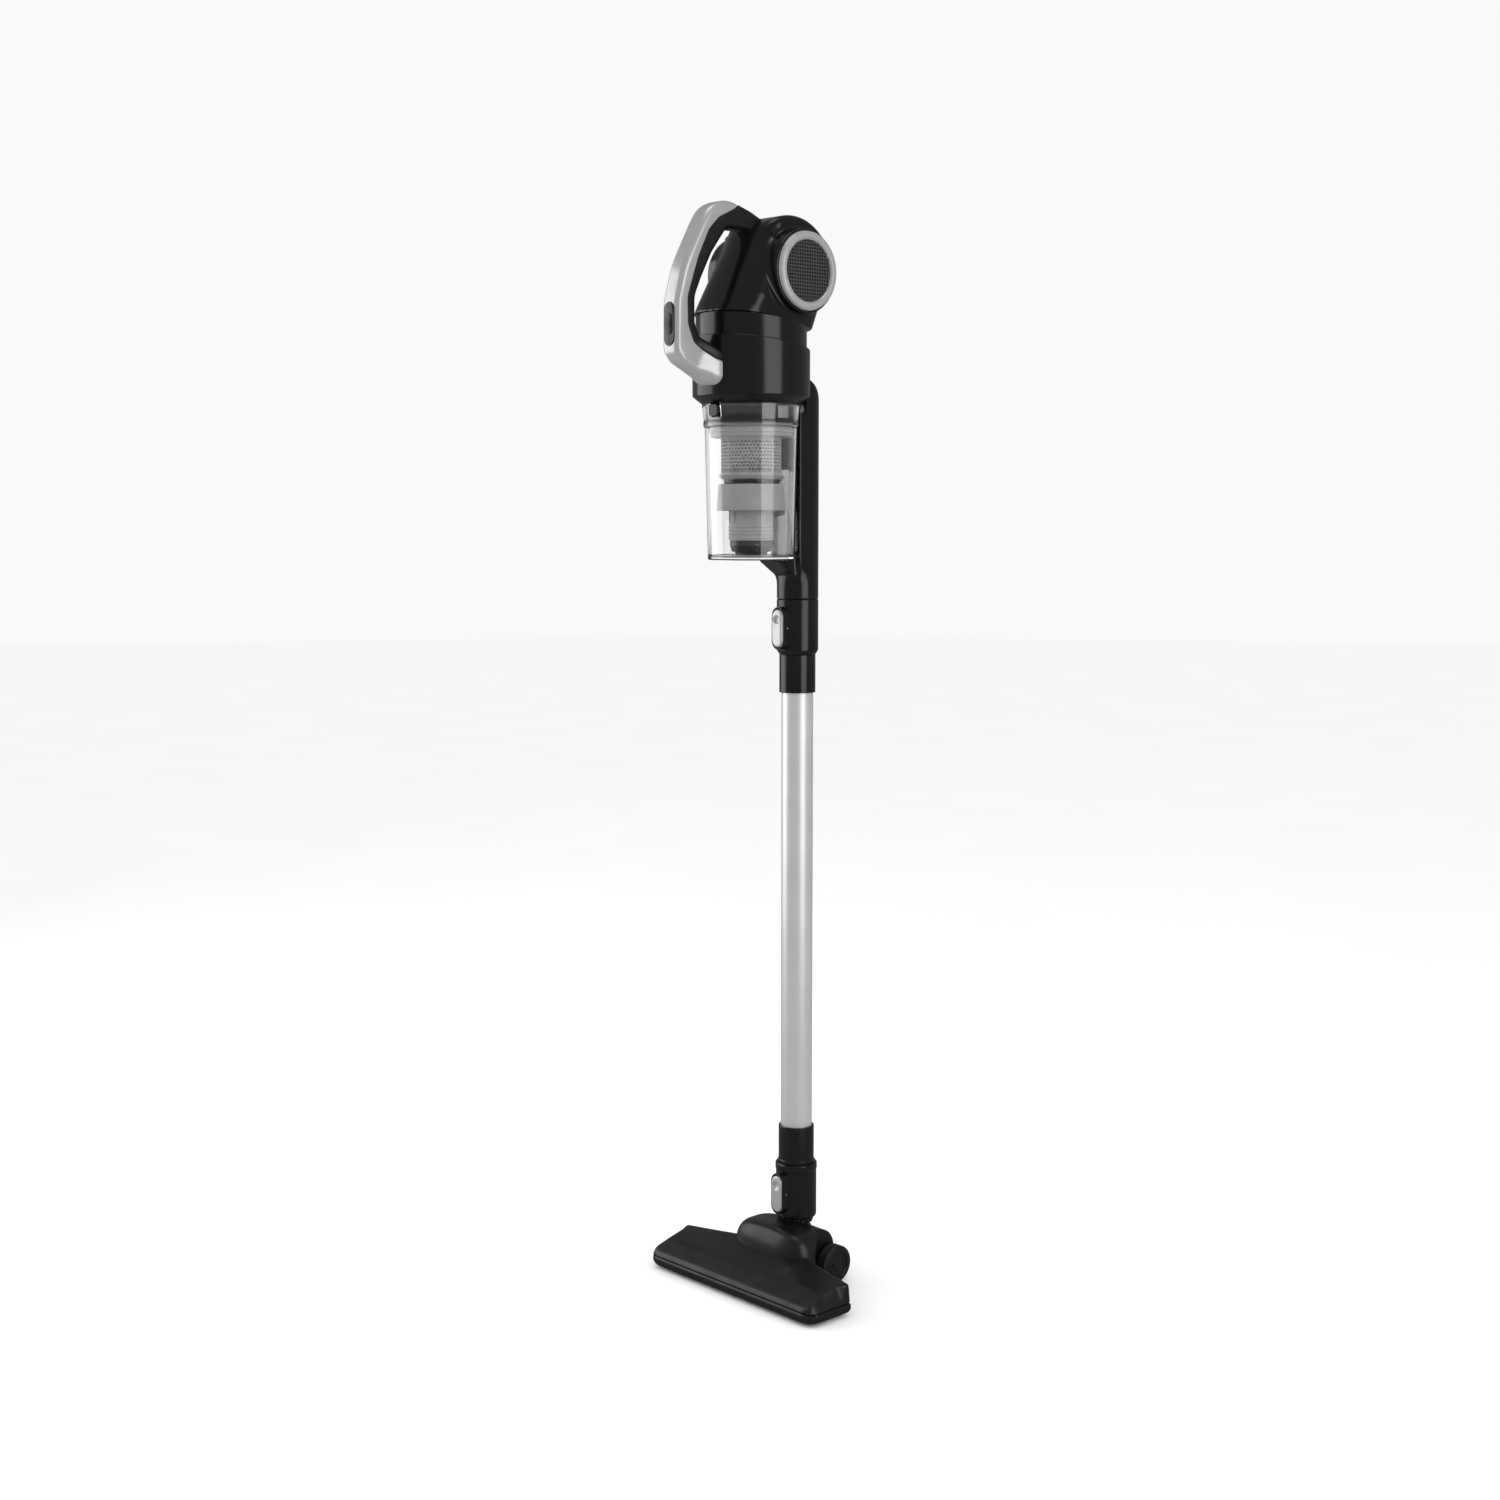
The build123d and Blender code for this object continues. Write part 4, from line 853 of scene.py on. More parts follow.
class MakeWand(bpy.types.Operator):
    """Aluminium tube, its upper collar and the lower collar with its spigot"""
    bl_idname = "vacuum.wand"
    bl_label = "Wand"

    def execute(self, context):
        corners = tube_corners(16.0, 15.0, *heights("wand_tube"), 0.3)
        turned("wand_tube", "drawn", corners, WAND_AXIS, "wand", "aluminium_tube")
        z0, z1 = heights("wand_collar")
        corners = [(BORE_R, z0 + 30, 0), (SLEEVE_R, z0 + 30, 0), (SLEEVE_R, z0, 0.3), (COLLAR_R, z0, 0.7),
                   (COLLAR_R, z1 - 0.4, 0.2), (BORE_R, z1 - 0.4, 0.2)]
        turned("wand_collar", "moulding", corners, WAND_AXIS, "wand", "abs_gloss_black")
        z0, z1 = heights("wand_spigot")
        shoulder = high("lower_socket")[2] + 0.2
        corners = [(BORE_R, z0, 0.5), (16.6, z0, 0.8), (SPIGOT_R, z0 + 4, 1.0), (SPIGOT_R, shoulder - 1, 0),
                   (17.4, shoulder, 0.1), (18.8, shoulder, 0.5), (18.8, shoulder + 3.0, 0.5),
                   (COLLAR_R, shoulder + 3.6, 0.3), (COLLAR_R, z1, 0.7), (SLEEVE_R, z1, 0.4),
                   (SLEEVE_R, z1 - 30, 0), (BORE_R, z1 - 30, 0)]
        turned("wand_spigot", "moulding", corners, WAND_AXIS, "wand", "abs_gloss_black")
        return {"FINISHED"}


# ------------------------------------------------------------------ spine, cup and cyclone

CUP_LOW, CUP_HIGH = low("dust_cup"), high("dust_cup")
CUP_TOP_R = (CUP_HIGH[0] - CUP_LOW[0]) / 2
CUP_LEDGE_Z = CUP_HIGH[2] - 21.0
CUP_BOTTOM_R = CUP_TOP_R - 5.0


def spine_field(p):
    x, y, z = p[:, 0], p[:, 1] - WAND_Y, p[:, 2]
    top = high("spine_duct")[2]
    bottom = high("upper_socket")[2] + 0.1
    back = np.sqrt(x ** 2 + np.clip(y, 0, 99) ** 2) - 20.8
    front = -y - 17.2
    duct = hull_max(back, front, 2.5)
    pipe = np.sqrt(x ** 2 + y ** 2) - 20.8
    flow = ramp_between(z, CUP_LOW[2] - 28, CUP_LOW[2] + 4)
    column = duct * flow + pipe * (1 - flow)
    crown = np.sqrt(np.clip(y + 24.2, 0, 99) ** 2 + np.clip(z - top + 45, 0, 99) ** 2) - 45.0
    solid = hull_max(hull_max(column, crown, 2.0), bottom - z, 0.4)
    lip_line = (CUP_LOW[2] - 1.6 - z - (y + 40) * 0.66) * 0.83
    lip = hull_max(hull_max(np.abs(x) - 14.5, -y - 41, 2.0), hull_max(lip_line, y - 2, 1.0), 1.6)
    lip = hull_max(lip, z - CUP_LOW[2] - 6, 1.0)
    solid = hull_min(solid, lip, 3.0)
    cup_r = CUP_BOTTOM_R + 0.1 + (z - CUP_LOW[2]) / (CUP_HIGH[2] - CUP_LOW[2]) * 5.0
    room = np.where(z > CUP_HIGH[2] - 6, 57.6, cup_r) - np.sqrt(x ** 2 + (y + 63.5) ** 2)
    return hull_max(solid, np.minimum(room, z - (CUP_LOW[2] - 0.4)), 0.5)


class MakeSpine(bpy.types.Operator):
    """Rear spine with the lip under the cup, and the nozzle below it"""
    bl_idname = "vacuum.spine"
    bl_label = "Spine"

    def execute(self, context):
        bottom = high("upper_socket")[2]
        top = high("spine_duct")[2]
        shape = skin(spine_field, (0, WAND_Y + 2, bottom + 8), (0, WAND_Y + 2, top - 30), 210, 128, 26, 90)
        nozzle_z = low("spine_duct")[2]
        corners = [(BORE_R, nozzle_z, 0.5), (16.6, nozzle_z, 0.8), (SPIGOT_R, nozzle_z + 4, 1.0),
                   (SPIGOT_R, bottom + 4, 0), (BORE_R, bottom + 4, 0)]
        shape = merged(shape, turn(corners, (0, WAND_Y)))
        piece("spine_moulding", *shape, "dust_unit", "abs_gloss_black", ["spine_duct"], 40)
        return {"FINISHED"}


class MakeCup(bpy.types.Operator):
    """Clear dust cup with its ledge, rim, inlet port and button notch"""
    bl_idname = "vacuum.cup"
    bl_label = "Dust cup"

    def execute(self, context):
        z0, z1 = CUP_LOW[2], CUP_HIGH[2]
        base, wall = CUP_BOTTOM_R - 0.5, 2.2
        ledge = CUP_BOTTOM_R + 0.86 * 5.0 - 0.6
        corners = [(0, z0 + 1.2, 0), (base - 9, z0 + 1.2, 2), (base - 7, z0, 0.8), (base, z0, 1.6),
                   (ledge - 1.4, CUP_LEDGE_Z - 1.0, 0.8), (ledge, CUP_LEDGE_Z, 0.5),
                   (ledge, CUP_LEDGE_Z + 4.2, 0.4), (ledge - 0.5, CUP_LEDGE_Z + 5.0, 0.4),
                   (CUP_TOP_R - 0.4, z1 - 3.0, 0.5), (CUP_TOP_R, z1 - 2.4, 0.5), (CUP_TOP_R, z1, 0.5),
                   (CUP_TOP_R - wall, z1, 0.3), (ledge - wall, CUP_LEDGE_Z + 1.0, 0.5),
                   (ledge - 1.4 - wall, CUP_LEDGE_Z - 1.6, 0.8), (base - wall, z0 + 3.2, 2.4),
                   (0, z0 + 3.2, 0)]
        cup = piece("dust_cup_moulding", *turn(corners, (0, BODY_Y), "Z", FINE_STEPS), "dust_unit",
                    "clear_polycarbonate", ["dust_cup"], 30)
        port = low("inlet_frame")[2] + 3, high("inlet_frame")[2] - 3
        cut(cup, cube(-12, 12, BODY_Y + 30, BODY_Y + 60, port[0], port[1]))
        cut(cup, cube(-6.5, 6.5, BODY_Y - 60, BODY_Y - 30, low("cup_release_button")[2] - 1, z1 + 5))
        return {"FINISHED"}


def cut(target, shape):
    """Takes a plain block out of a piece."""
    mesh = bpy.data.meshes.new("cutter")
    mesh.from_pydata([tuple(c * MM for c in p) for p in shape[0]], [], shape[1])
    cutter = bpy.data.objects.new("cutter", mesh)
    bpy.context.scene.collection.objects.link(cutter)
    modifier = target.modifiers.new("notch", "BOOLEAN")
    modifier.object, modifier.operation, modifier.solver = cutter, "DIFFERENCE", "EXACT"
    bpy.context.view_layer.update()
    result = bpy.data.meshes.new_from_object(target.evaluated_get(bpy.context.evaluated_depsgraph_get()))
    target.modifiers.clear()
    target.data = result
    result.set_sharp_from_angle(angle=math.radians(30))
    bpy.data.objects.remove(cutter)


class MakeCyclone(bpy.types.Operator):
    """Filter plate, perforated cage, skirt, ribbed shroud and bottom cap inside the cup"""
    bl_idname = "vacuum.cyclone"
    bl_label = "Cyclone and filter"

    def execute(self, context):
        plate_z0, plate_z1 = heights("filter_plate")
        corners = [(24, plate_z0, 0.3), (39.5, plate_z0, 0.8), (39.9, plate_z0 + 3.6, 0.4),
                   (41.0, plate_z0 + 4.2, 0.4), (41.0, plate_z0 + 7.4, 0.6), (40.2, plate_z0 + 8.2, 0.3),
                   (40.2, plate_z1, 0.4), (24, plate_z1, 0.3)]
        turned("filter_plate", "moulding", corners, BODY_AXIS, "motor_unit", "filter_grey")
        piece("mesh_cage_perforated", *cage_shape(), "motor_unit", "filter_grey", ["mesh_cage"], 50)
        z0, z1 = heights("cage_lip")
        corners = [(25.6, z0, 0.2), (28.6, z0, 0.5), (31.8, z1 - 1.2, 0.5), (31.9, z1, 0.4),
                   (29.0, z1 + 0.1, 0), (25.6, z1, 0.2)]
        turned("cage_lip", "moulding", corners, BODY_AXIS, "motor_unit", "filter_grey")
        z0, z1 = heights("cyclone_neck")
        corners = [(23, z0 + 0.1, 0), (26.5, z0 + 0.1, 0.3), (27.0, z1, 0.2), (23, z1, 0)]
        turned("cyclone_neck", "ring", corners, BODY_AXIS, "motor_unit", "abs_gloss_black")
        z0, z1 = heights("cyclone_skirt")
        corners = [(31.4, z0, 0.4), (33.6, z0, 0.6), (31.9, z1 - 0.3, 1.2), (23, z1, 0.3),
                   (23, z1 - 2.2, 0), (29.8, z1 - 2.4, 1.0)]
        turned("cyclone_skirt", "moulding", corners, BODY_AXIS, "motor_unit", "filter_grey")
        z0, z1 = heights("cyclone_shroud")
        corners = [(19.5, z0, 0.3), (21.5, z0, 0.4)]
        for rib in range(4):
            z = z0 + 1.8 + 3.6 * rib
            corners += [(21.5, z, 0.2), (22.5, z + 0.4, 0.3), (22.5, z + 1.3, 0.3), (21.5, z + 1.7, 0.2)]
        corners += [(21.3, z1, 0.3), (19.5, z1, 0.3)]
        fins = [shroud_fin(angle, z0, z1) for angle in range(0, 360, 30)]
        piece("cyclone_shroud_moulding", *merged(turn(corners, BODY_AXIS), *fins), "motor_unit",
              "filter_grey", ["cyclone_shroud"])
        z0, z1 = heights("cyclone_cap")
        corners = [(6, z0, 0.4), (15.2, z0, 0.8), (16.0, z0 + 3.6, 0.5), (19.4, z0 + 4.6, 0.5),
                   (19.8, z0 + 8, 0.4), (21.0, z0 + 9.0, 0.4), (21.0, z1 - 1.4, 0.5),
                   (20.4, z1 - 0.1, 0.4), (6, z1 - 0.1, 0.3)]
        turned("cyclone_cap", "moulding", corners, BODY_AXIS, "motor_unit", "abs_gloss_black")
        return {"FINISHED"}


def shroud_fin(angle, z0, z1):
    """Slim upright fin on the shroud tube."""
    c, s = math.cos(math.radians(angle)), math.sin(math.radians(angle))
    points, faces = cube(21.0, 22.1, -0.45, 0.45, z0 + 17, z1 - 2)
    return [(x * c - y * s, BODY_Y + x * s + y * c, z) for x, y, z in points], faces


def cage_shape():
    """Thin cylinder wall with staggered round holes, each an eight-sided opening in its own cell."""
    z0, z1 = heights("mesh_cage")
    radius, wall = 29.4, 1.1
    pitch = sizes().cage_pitch / MM
    columns = int(round(TAU * radius / pitch))
    rim = 3.2
    rows = int(round((z1 - z0 - 2 * rim) / pitch))
    cell_h = (z1 - z0 - 2 * rim) / rows
    hole = pitch * 0.37
    points, faces = [], []

    def spot(column, height, r):
        a = TAU * column / columns
        points.append((r * math.cos(a), BODY_Y + r * math.sin(a), height))
        return len(points) - 1

    corner = [(-0.5, -0.5), (0, -0.5), (0.5, -0.5), (0.5, 0), (0.5, 0.5), (0, 0.5), (-0.5, 0.5), (-0.5, 0)]
    for row in range(rows):
        for column in range(columns):
            middle_c = column + 0.5 * (row % 2)
            middle_z = z0 + rim + cell_h * (row + 0.5)
            layers = []
            for r in (radius, radius - wall):
                frame_ring = [spot(middle_c + u, middle_z + v * cell_h, r) for u, v in corner]
                hole_ring = []
                for u, v in corner:
                    length = math.hypot(u, v)
                    hole_ring.append(spot(middle_c + u / length * hole / pitch,
                                          middle_z + v / length * hole, r))
                layers.append((frame_ring, hole_ring))
            for i in range(8):
                j = (i + 1) % 8
                (fo, ho), (fi, hi) = layers
                faces.append((fo[i], fo[j], ho[j], ho[i]))
                faces.append((fi[j], fi[i], hi[i], hi[j]))
                faces.append((ho[i], ho[j], hi[j], hi[i]))
    bands = []
    for a, b in ((z0, z0 + rim), (z1 - rim, z1)):
        bands.append(turn([(radius - wall, a, 0), (radius, a, 0), (radius, b, 0), (radius - wall, b, 0)],
                          (0, BODY_Y), "Z", columns * 2))
    for k in range(4):
        c, s = math.cos(TAU * k / 4), math.sin(TAU * k / 4)
        rib_points, rib_faces = cube(radius - 0.2, radius + 0.35, -0.9, 0.9, z0 + 2, z1 - 2)
        bands.append(([(x * c - y * s, BODY_Y + x * s + y * c, z) for x, y, z in rib_points], rib_faces))
    return merged((points, faces), *bands)


# ------------------------------------------------------------------ motor unit

DRUM = middle("vent_rings")
LEAN = math.radians(27)


def collar_slope(y, front_z, rear_z):
    share = (y - BODY_Y + 57.2) / 114.4
    return front_z + (rear_z - front_z) * share


def housing_field(p):
    """Leaning barrel with flat sides, its top rolled about the drum axis, and a boss for each vent ring."""
    x, y, z = np.abs(p[:, 0]), p[:, 1] - DRUM[1], p[:, 2] - DRUM[2]
    along = y * math.sin(LEAN) + z * math.cos(LEAN)
    across = y * math.cos(LEAN) - z * math.sin(LEAN)
    radius = 56.4 - np.clip(along + 60, 0, 60) * 0.05
    top = np.sqrt(np.clip(along, 0, 99) ** 2 + across ** 2) - 54.3
    barrel = hull_max(np.sqrt(x ** 2 + across ** 2) - radius, top, 3.0)
    flat = 43.5 - np.clip(along + 45, 0, 60) * 0.16
    barrel = hull_max(barrel, x - flat, 8.0)
    boss = hull_max(np.sqrt(y ** 2 + z ** 2) - 39.8 - 0.1 * np.clip(49 - x, 0, 49), x - 49.0, 1.5)
    solid = hull_min(barrel, boss, 4.0)
    foot = collar_slope(p[:, 1], low_band_top(), low_band_top() - 15) + 0.4 - p[:, 2]
    return hull_max(solid, foot, 1.4)


def low_band_top():
    return high("neck_band")[2] - 0.2


class MakeHousing(bpy.types.Operator):
    """Leaning motor housing, neck band and collar"""
    bl_idname = "vacuum.housing"
    bl_label = "Motor housing"

    def execute(self, context):
        core = (0, DRUM[1] - 8, DRUM[2] - 12)
        tip = (0, DRUM[1] - 4, DRUM[2] - 6)
        shape = skin(housing_field, core, tip, 4, 360, 150, 120)
        piece("motor_housing_shell", *shape, "motor_unit", "abs_gloss_black", ["motor_housing"], 50)
        band = low("neck_band")[2]
        top = low_band_top()
        corners = [(51.6, band, 0.3), (54.0, band, 0.3), (54.0, top - 2, 0), (54.0, top, 0.8),
                   (51.6, top, 0.3)]
        points, faces = turn(corners, BODY_AXIS, "Z", FINE_STEPS)
        points = [(x, y, z if z < band + 5 else collar_slope(y, z, z - 15)) for x, y, z in points]
        piece("neck_band_moulding", points, faces, "motor_unit", "abs_gloss_black", ["neck_band"])
        z0, z1 = heights("collar")
        chamfer = z0 + 7.3
        corners = [(34, z0, 0.4), (47.9, z0, 0.8), (57.2, chamfer, 1.6), (57.2, z1 - 3, 0), (57.2, z1, 1.3),
                   (54.6, z1, 0.5), (54.6, chamfer + 3, 1.0), (34, chamfer + 3, 0.4)]
        points, faces = turn(corners, BODY_AXIS, "Z", FINE_STEPS)
        points = [(x, y, z if z < z1 - 20 else collar_slope(y, z, z - 15)) for x, y, z in points]
        piece("collar_moulding", points, faces, "motor_unit", "abs_gloss_black", ["collar"])
        return {"FINISHED"}


class MakeVents(bpy.types.Operator):
    """Silver vent rings, square-mesh grilles and the foam behind them, on both sides"""
    bl_idname = "vacuum.vents"
    bl_label = "Side vents"

    def execute(self, context):
        outer_x = high("vent_rings")[0]
        outer_r = (high("vent_rings")[2] - low("vent_rings")[2]) / 2
        inner_r = outer_r - 8.0
        centre = DRUM[1:]
        corners = [(inner_r - 0.6, outer_x - 5.0, 0), (outer_r - 0.4, outer_x - 5.0, 0.2),
                   (outer_r, outer_x - 4.2, 0.4), (outer_r - 0.8, outer_x - 1.6, 1.0),
                   (outer_r - 3.0, outer_x, 1.6), (inner_r + 1.4, outer_x, 1.0),
                   (inner_r, outer_x - 1.6, 0.5), (inner_r - 0.6, outer_x - 2.4, 0.2)]
        ring = turn(corners, centre, "X", 160)
        piece("vent_rings_lacquered", *both_sides(ring), "motor_unit", "abs_silver", ["vent_rings"])
        grille = grille_shape(inner_r, outer_x, centre)
        piece("vent_grilles_mesh", *both_sides(grille), "motor_unit", "grille_black", ["vent_grilles"])
        foam = turn(disc_corners(inner_r - 0.7, outer_x - 4.9, outer_x - 3.6, 0.3), centre, "X", 96)
        piece("exhaust_foam_pads", *both_sides(foam), "motor_unit", "foam_black", ["exhaust_foams"])
        return {"FINISHED"}


def grille_shape(radius, outer_x, centre):
    """Square lattice of crossing bars, clipped to a circle."""
    pitch = sizes().grille_pitch / MM
    bar = pitch * 0.17
    shapes = []
    count = int(radius / pitch)
    for k in range(-count, count + 1):
        offset = k * pitch
        reach = math.sqrt(max(0.0, (radius - 0.2) ** 2 - offset ** 2))
        if reach < 1.5:
            continue
        y, z = centre[0] + offset, centre[1] + offset
        shapes.append(cube(outer_x - 3.2, outer_x - 1.9, y - bar, y + bar, centre[1] - reach,
                           centre[1] + reach))
        shapes.append(cube(outer_x - 3.3, outer_x - 2.0, centre[0] - reach, centre[0] + reach, z - bar,
                           z + bar))
    return merged(*shapes)


# ------------------------------------------------------------------ handle

HANDLE_TOP = high("handle_shell")[2]


def side_line(*corners):
    """Open side-view line; y from the body axis, z below the top of the handle."""
    return rounded([(BODY_Y + y, HANDLE_TOP - drop, r) for y, drop, r in corners], 8, False)


def parting_line():
    """Where the silver shell meets the black grip."""
    return [(-52, 18.5, 16), (-64.6, 31, 20), (-78, 57.5, 30), (-91.4, 94, 22), (-91.2, 119.5, 12),
            (-84, 136.5, 12), (-60, 150.5, 8)]


class MakeHandle(bpy.types.Operator):
    """Silver handle shell, black grip, and the power switch let into the front"""
    bl_idname = "vacuum.handle"
    bl_label = "Handle and switch"

    def execute(self, context):
        outer = side_line((-27, 4.2, 0), (-41, 0.8, 30), (-63, 8.0, 40), (-95, 64.5, 80), (-104.6, 100, 50),
                          (-104.6, 146, 11),
                          (-97, 155.5, 10), (-47, 180.0, 0))
        inner = side_line((-31, 8.6, 0), *parting_line(), (-46, 154, 0))
        count = 170
        wide = handle_widths(outer, count, 11.5, 18.5)
        shape = ladder(outer, inner, wide, 6.2, 1.0, count)
        piece("handle_shell_lacquered", *shape, "motor_unit", "abs_silver", ["handle_shell"], 45)
        outer = side_line((12, 19.5, 0), (-10, 10.0, 24), (-27.5, 4.6, 3), (-31, 8.8, 1), *parting_line(),
                          (-44, 155, 0))
        inner = side_line((8, 30.5, 0), (-20, 27.0, 14), (-40, 27.5, 12), (-59, 52, 30), (-72, 76, 30),
                          (-80.3, 94, 22), (-80.3, 118, 14),
                          (-75, 130, 12), (-61, 138, 10), (-46, 146, 0))
        wide = handle_widths(outer, count, 11.1, 17.8)
        shape = ladder(outer, inner, wide, 0.8, 5.0, count)
        piece("handle_grip_moulding", *shape, "motor_unit", "abs_satin_black", ["handle_grip"], 45)
        make_switch()
        return {"FINISHED"}


def handle_widths(line, count, narrow, wide):
    """Half width at each rung: the lower arm spreads to hug the collar."""
    spots = resample(line, count)
    spread = ramp_between(spots[:, 0] - BODY_Y, -84, -56) * (spots[:, 1] < HANDLE_TOP - 120)
    return narrow + (wide - narrow) * spread


def make_switch():
    bezel, slider = "switch_bezel", "switch_slider"
    z = middle(bezel)[2]
    front = BODY_Y - 104.6
    shape = slab_plate(outline_points(14.6, 41.0), z, front - 0.7, front + 2.0, 0.7)
    piece("switch_bezel_rim", *shape, "motor_unit", "abs_gloss_black", [bezel])
    shape = slab_plate(outline_points(9.4, 20.0), z, front - 1.6, front + 1.0, 0.6)
    ribs = [cube(-3.6, 3.6, front - 3.0 + abs(k) * 0.45, front - 1.2, z + k * 2.2 - 0.5, z + k * 2.2 + 0.5)
            for k in (-2, -1, 0, 1, 2)]
    piece("switch_slider_ribbed", *merged(shape, *ribs), "switch", "abs_satin_black", [slider])


def slab_plate(outline, z, front, back, lip):
    """Upright stadium plate facing the front, with a rounded front lip."""
    rings = [(0, back), (0, front + lip), (0.29 * lip, front + 0.29 * lip), (lip, front)]
    points, faces = [], []
    for inset, depth in rings:
        for x, h in outline:
            length = math.hypot(x, h)
            points.append((x * (1 - inset / length), depth, z + h * (1 - inset / length)))
    count = len(outline)
    for k in range(len(rings) - 1):
        for i in range(count):
            a, b = k * count + i, k * count + (i + 1) % count
            faces.append((a, b, b + count, a + count))
    faces += [tuple(range(count)), tuple(range(3 * count, 4 * count))]
    return points, faces


# ------------------------------------------------------------------ carried-over frame pieces

class FinishFrame(bpy.types.Operator):
    """Gives each frame piece that stays its finish and softened edges"""
    bl_idname = "vacuum.frame_finish"
    bl_label = "Finish frame pieces"

    def execute(self, context):
        slots = {row["node"]: row["material_slot"] for row in frame["record"]["subparts"]}
        for name, node in frame["nodes"].items():
            for index in range(max(1, len(node.data.materials))):
                if index < len(node.data.materials):
                    node.data.materials[index] = FINISHES[slots[name]]
                else:
                    node.data.materials.append(FINISHES[slots[name]])
            if node.hide_render:
                continue
            weld = node.modifiers.new("weld", "WELD")
            weld.merge_threshold = 1e-5
            bevel = node.modifiers.new("moulded edges", "BEVEL")
            bevel.width = sizes().edge_round
            bevel.segments = 2
            bevel.limit_method = "ANGLE"
            bevel.angle_limit = math.radians(40)
            bevel.harden_normals = False
        return {"FINISHED"}


# ------------------------------------------------------------------ stage

def area_light(name, spot, aim, size, power, shape="RECTANGLE"):
    data = bpy.data.lights.new(name, "AREA")
    data.shape = shape
    data.size, data.size_y = size
    data.energy = power
    lamp = bpy.data.objects.new(name, data)
    lamp.location = spot
    lamp.rotation_mode = "QUATERNION"
    lamp.rotation_quaternion = (Vector(aim) - Vector(spot)).to_track_quat("-Z", "Y")
    bpy.context.scene.collection.objects.link(lamp)
    return lamp


def round_view(azimuth, elevation, distance, centre):
    """Point seen from the object's middle at an azimuth and elevation."""
    a, e = math.radians(azimuth), math.radians(elevation)
    direction = Vector((math.sin(a) * math.cos(e), -math.cos(a) * math.cos(e), math.sin(e)))
    return Vector(centre) + distance * direction


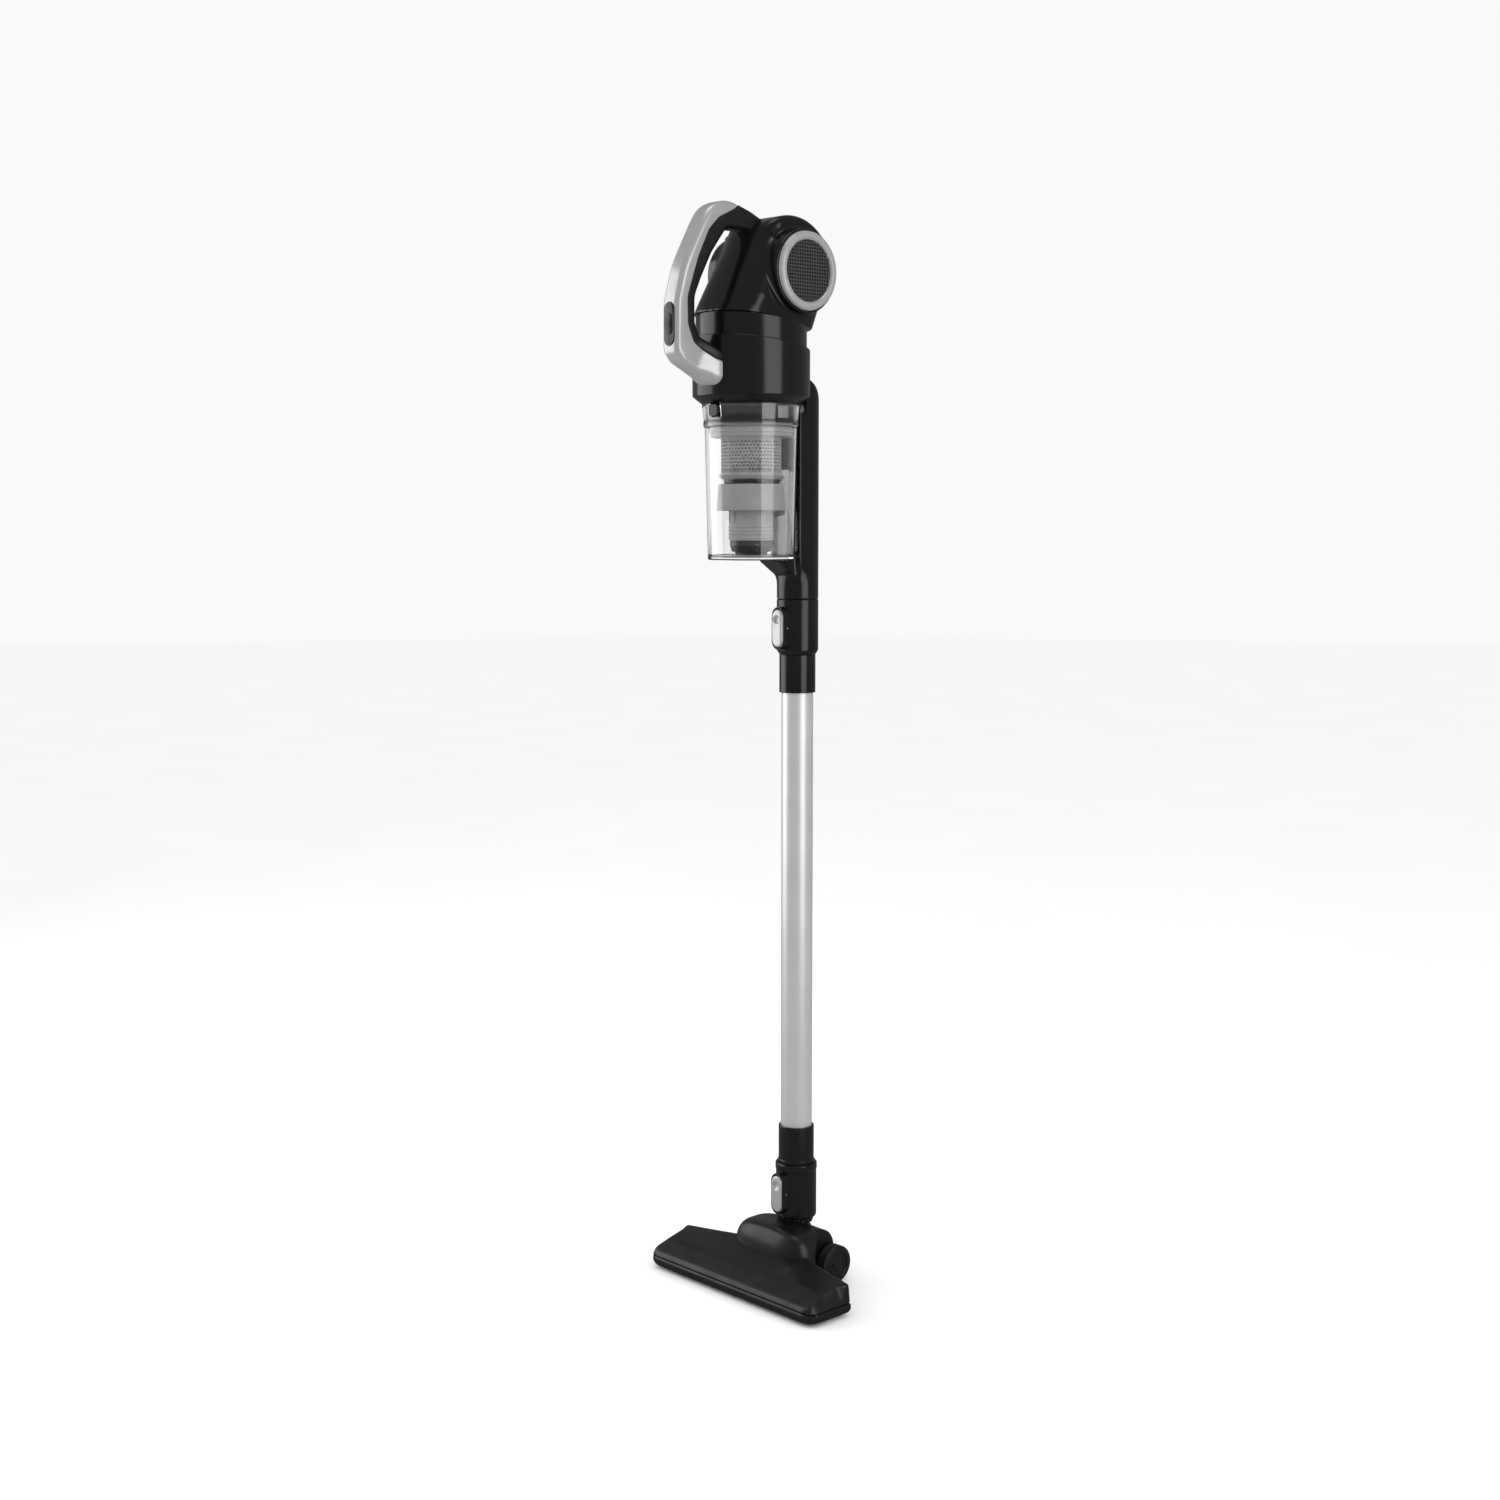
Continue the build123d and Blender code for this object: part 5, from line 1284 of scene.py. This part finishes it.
class MakeStage(bpy.types.Operator):
    """Pale floor, soft studio lights, pale surroundings and the camera"""
    bl_idname = "vacuum.stage"
    bl_label = "Stage"

    def execute(self, context):
        scene = context.scene
        azimuth, pitch = 47.1, 6.25
        distance, aside, height = 2.094, 0.0477, 0.777
        back = Vector((math.sin(math.radians(azimuth)), -math.cos(math.radians(azimuth)), 0))
        right = Vector((-back.y, back.x, 0))
        data = bpy.data.cameras.new("camera")
        data.lens, data.sensor_width = 50.0, 36.0
        data.clip_end = 60.0
        camera = bpy.data.objects.new("camera", data)
        camera.location = Vector((0, WAND_Y * MM, height)) + back * distance - right * aside
        look = -back * math.cos(math.radians(pitch)) - Vector((0, 0, math.sin(math.radians(pitch))))
        camera.rotation_mode = "QUATERNION"
        camera.rotation_quaternion = look.to_track_quat("-Z", "Y")
        scene.collection.objects.link(camera)
        scene.camera = camera

        bpy.ops.mesh.primitive_circle_add(vertices=96, radius=12.0, fill_type="NGON", location=(0, 0, 0))
        floor = context.object
        floor.name = "floor"
        paper, shader = new_material("Paper floor matt white", Roughness=0.9, Specular_IOR_Level=0.0)
        # Matt white paper; mirrored in the object it is as dim as the rest of the studio.
        tone = cloud(paper, place(paper), 300.0, 3.0, shades(linear("#FCFCFC"), 0.01))
        mirrored_ray = add_node(paper, "ShaderNodeLightPath").outputs["Is Glossy Ray"]
        dim = {"Color2": (0.16, 0.16, 0.16, 1)}
        dimmed = add_node(paper, "ShaderNodeMixRGB", dim, Fac=mirrored_ray, Color1=tone)
        join(paper, shader, Base_Color=dimmed.outputs[0])
        floor.data.materials.append(paper)

        light = sizes().light_strength
        heart = (0, 0.03, 0.60)
        for name, turned, width in (("right softbox", 42, 1.15), ("left softbox", -104, 1.6)):
            spot = round_view(azimuth + turned, 6, 1.9, heart)
            area_light(name, spot, heart, (width, 2.3), light * width * 2.3 * math.pi)
        area_light("top softbox", (0.1, -0.2, 2.7), heart, (1.0, 1.0), light * 0.9 * math.pi)

        world = bpy.data.worlds.new("studio")
        world.use_nodes = True
        scene.world = world
        background = world.node_tree.nodes["Background"]
        background.inputs["Color"].default_value = (1, 1, 1, 1)
        rays = world.node_tree.nodes.new("ShaderNodeLightPath")
        mirrored_only = world.node_tree.nodes.new("ShaderNodeMath")
        mirrored_only.operation = "SUBTRACT"
        mirrored_only.use_clamp = True
        world.node_tree.links.new(rays.outputs["Is Glossy Ray"], mirrored_only.inputs[0])
        world.node_tree.links.new(rays.outputs["Is Transmission Ray"], mirrored_only.inputs[1])
        dimmer = world.node_tree.nodes.new("ShaderNodeMapRange")
        dimmer.inputs["To Min"].default_value = 0.95
        dimmer.inputs["To Max"].default_value = 0.2
        world.node_tree.links.new(mirrored_only.outputs["Value"], dimmer.inputs["Value"])
        world.node_tree.links.new(dimmer.outputs["Result"], background.inputs["Strength"])
        scene.view_settings.view_transform = "Standard"
        return {"FINISHED"}


# ------------------------------------------------------------------ panel and registration

MAKERS = (MakeStage, MakeFloorHead, MakeBristles, MakeWheels, MakeNeck, MakeSockets, MakeWand, MakeSpine,
          MakeCup, MakeCyclone, MakeHousing, MakeVents, MakeHandle, FinishFrame)


class VacuumPanel(bpy.types.Panel):
    bl_idname = "VIEW3D_PT_vacuum"
    bl_label = "Stick vacuum"
    bl_space_type = "VIEW_3D"
    bl_region_type = "UI"
    bl_category = "Vacuum"

    def draw(self, context):
        layout = self.layout
        for group in (context.scene.vacuum_sizes, context.scene.vacuum_colours):
            for name in group.bl_rna.properties.keys():
                if name not in ("rna_type", "name"):
                    layout.prop(group, name)
        for maker in MAKERS:
            layout.operator(maker.bl_idname)


CLASSES = (VacuumColours, VacuumSizes, *MAKERS, VacuumPanel)


def register():
    for item in CLASSES:
        bpy.utils.register_class(item)
    bpy.types.Scene.vacuum_colours = PointerProperty(type=VacuumColours)
    bpy.types.Scene.vacuum_sizes = PointerProperty(type=VacuumSizes)


def unregister():
    del bpy.types.Scene.vacuum_sizes
    del bpy.types.Scene.vacuum_colours
    for item in reversed(CLASSES):
        bpy.utils.unregister_class(item)


def main():
    register()
    make_finishes()
    for maker in MAKERS:
        group, name = maker.bl_idname.split(".")
        getattr(getattr(bpy.ops, group), name)()


if __name__ == "__main__":
    main()
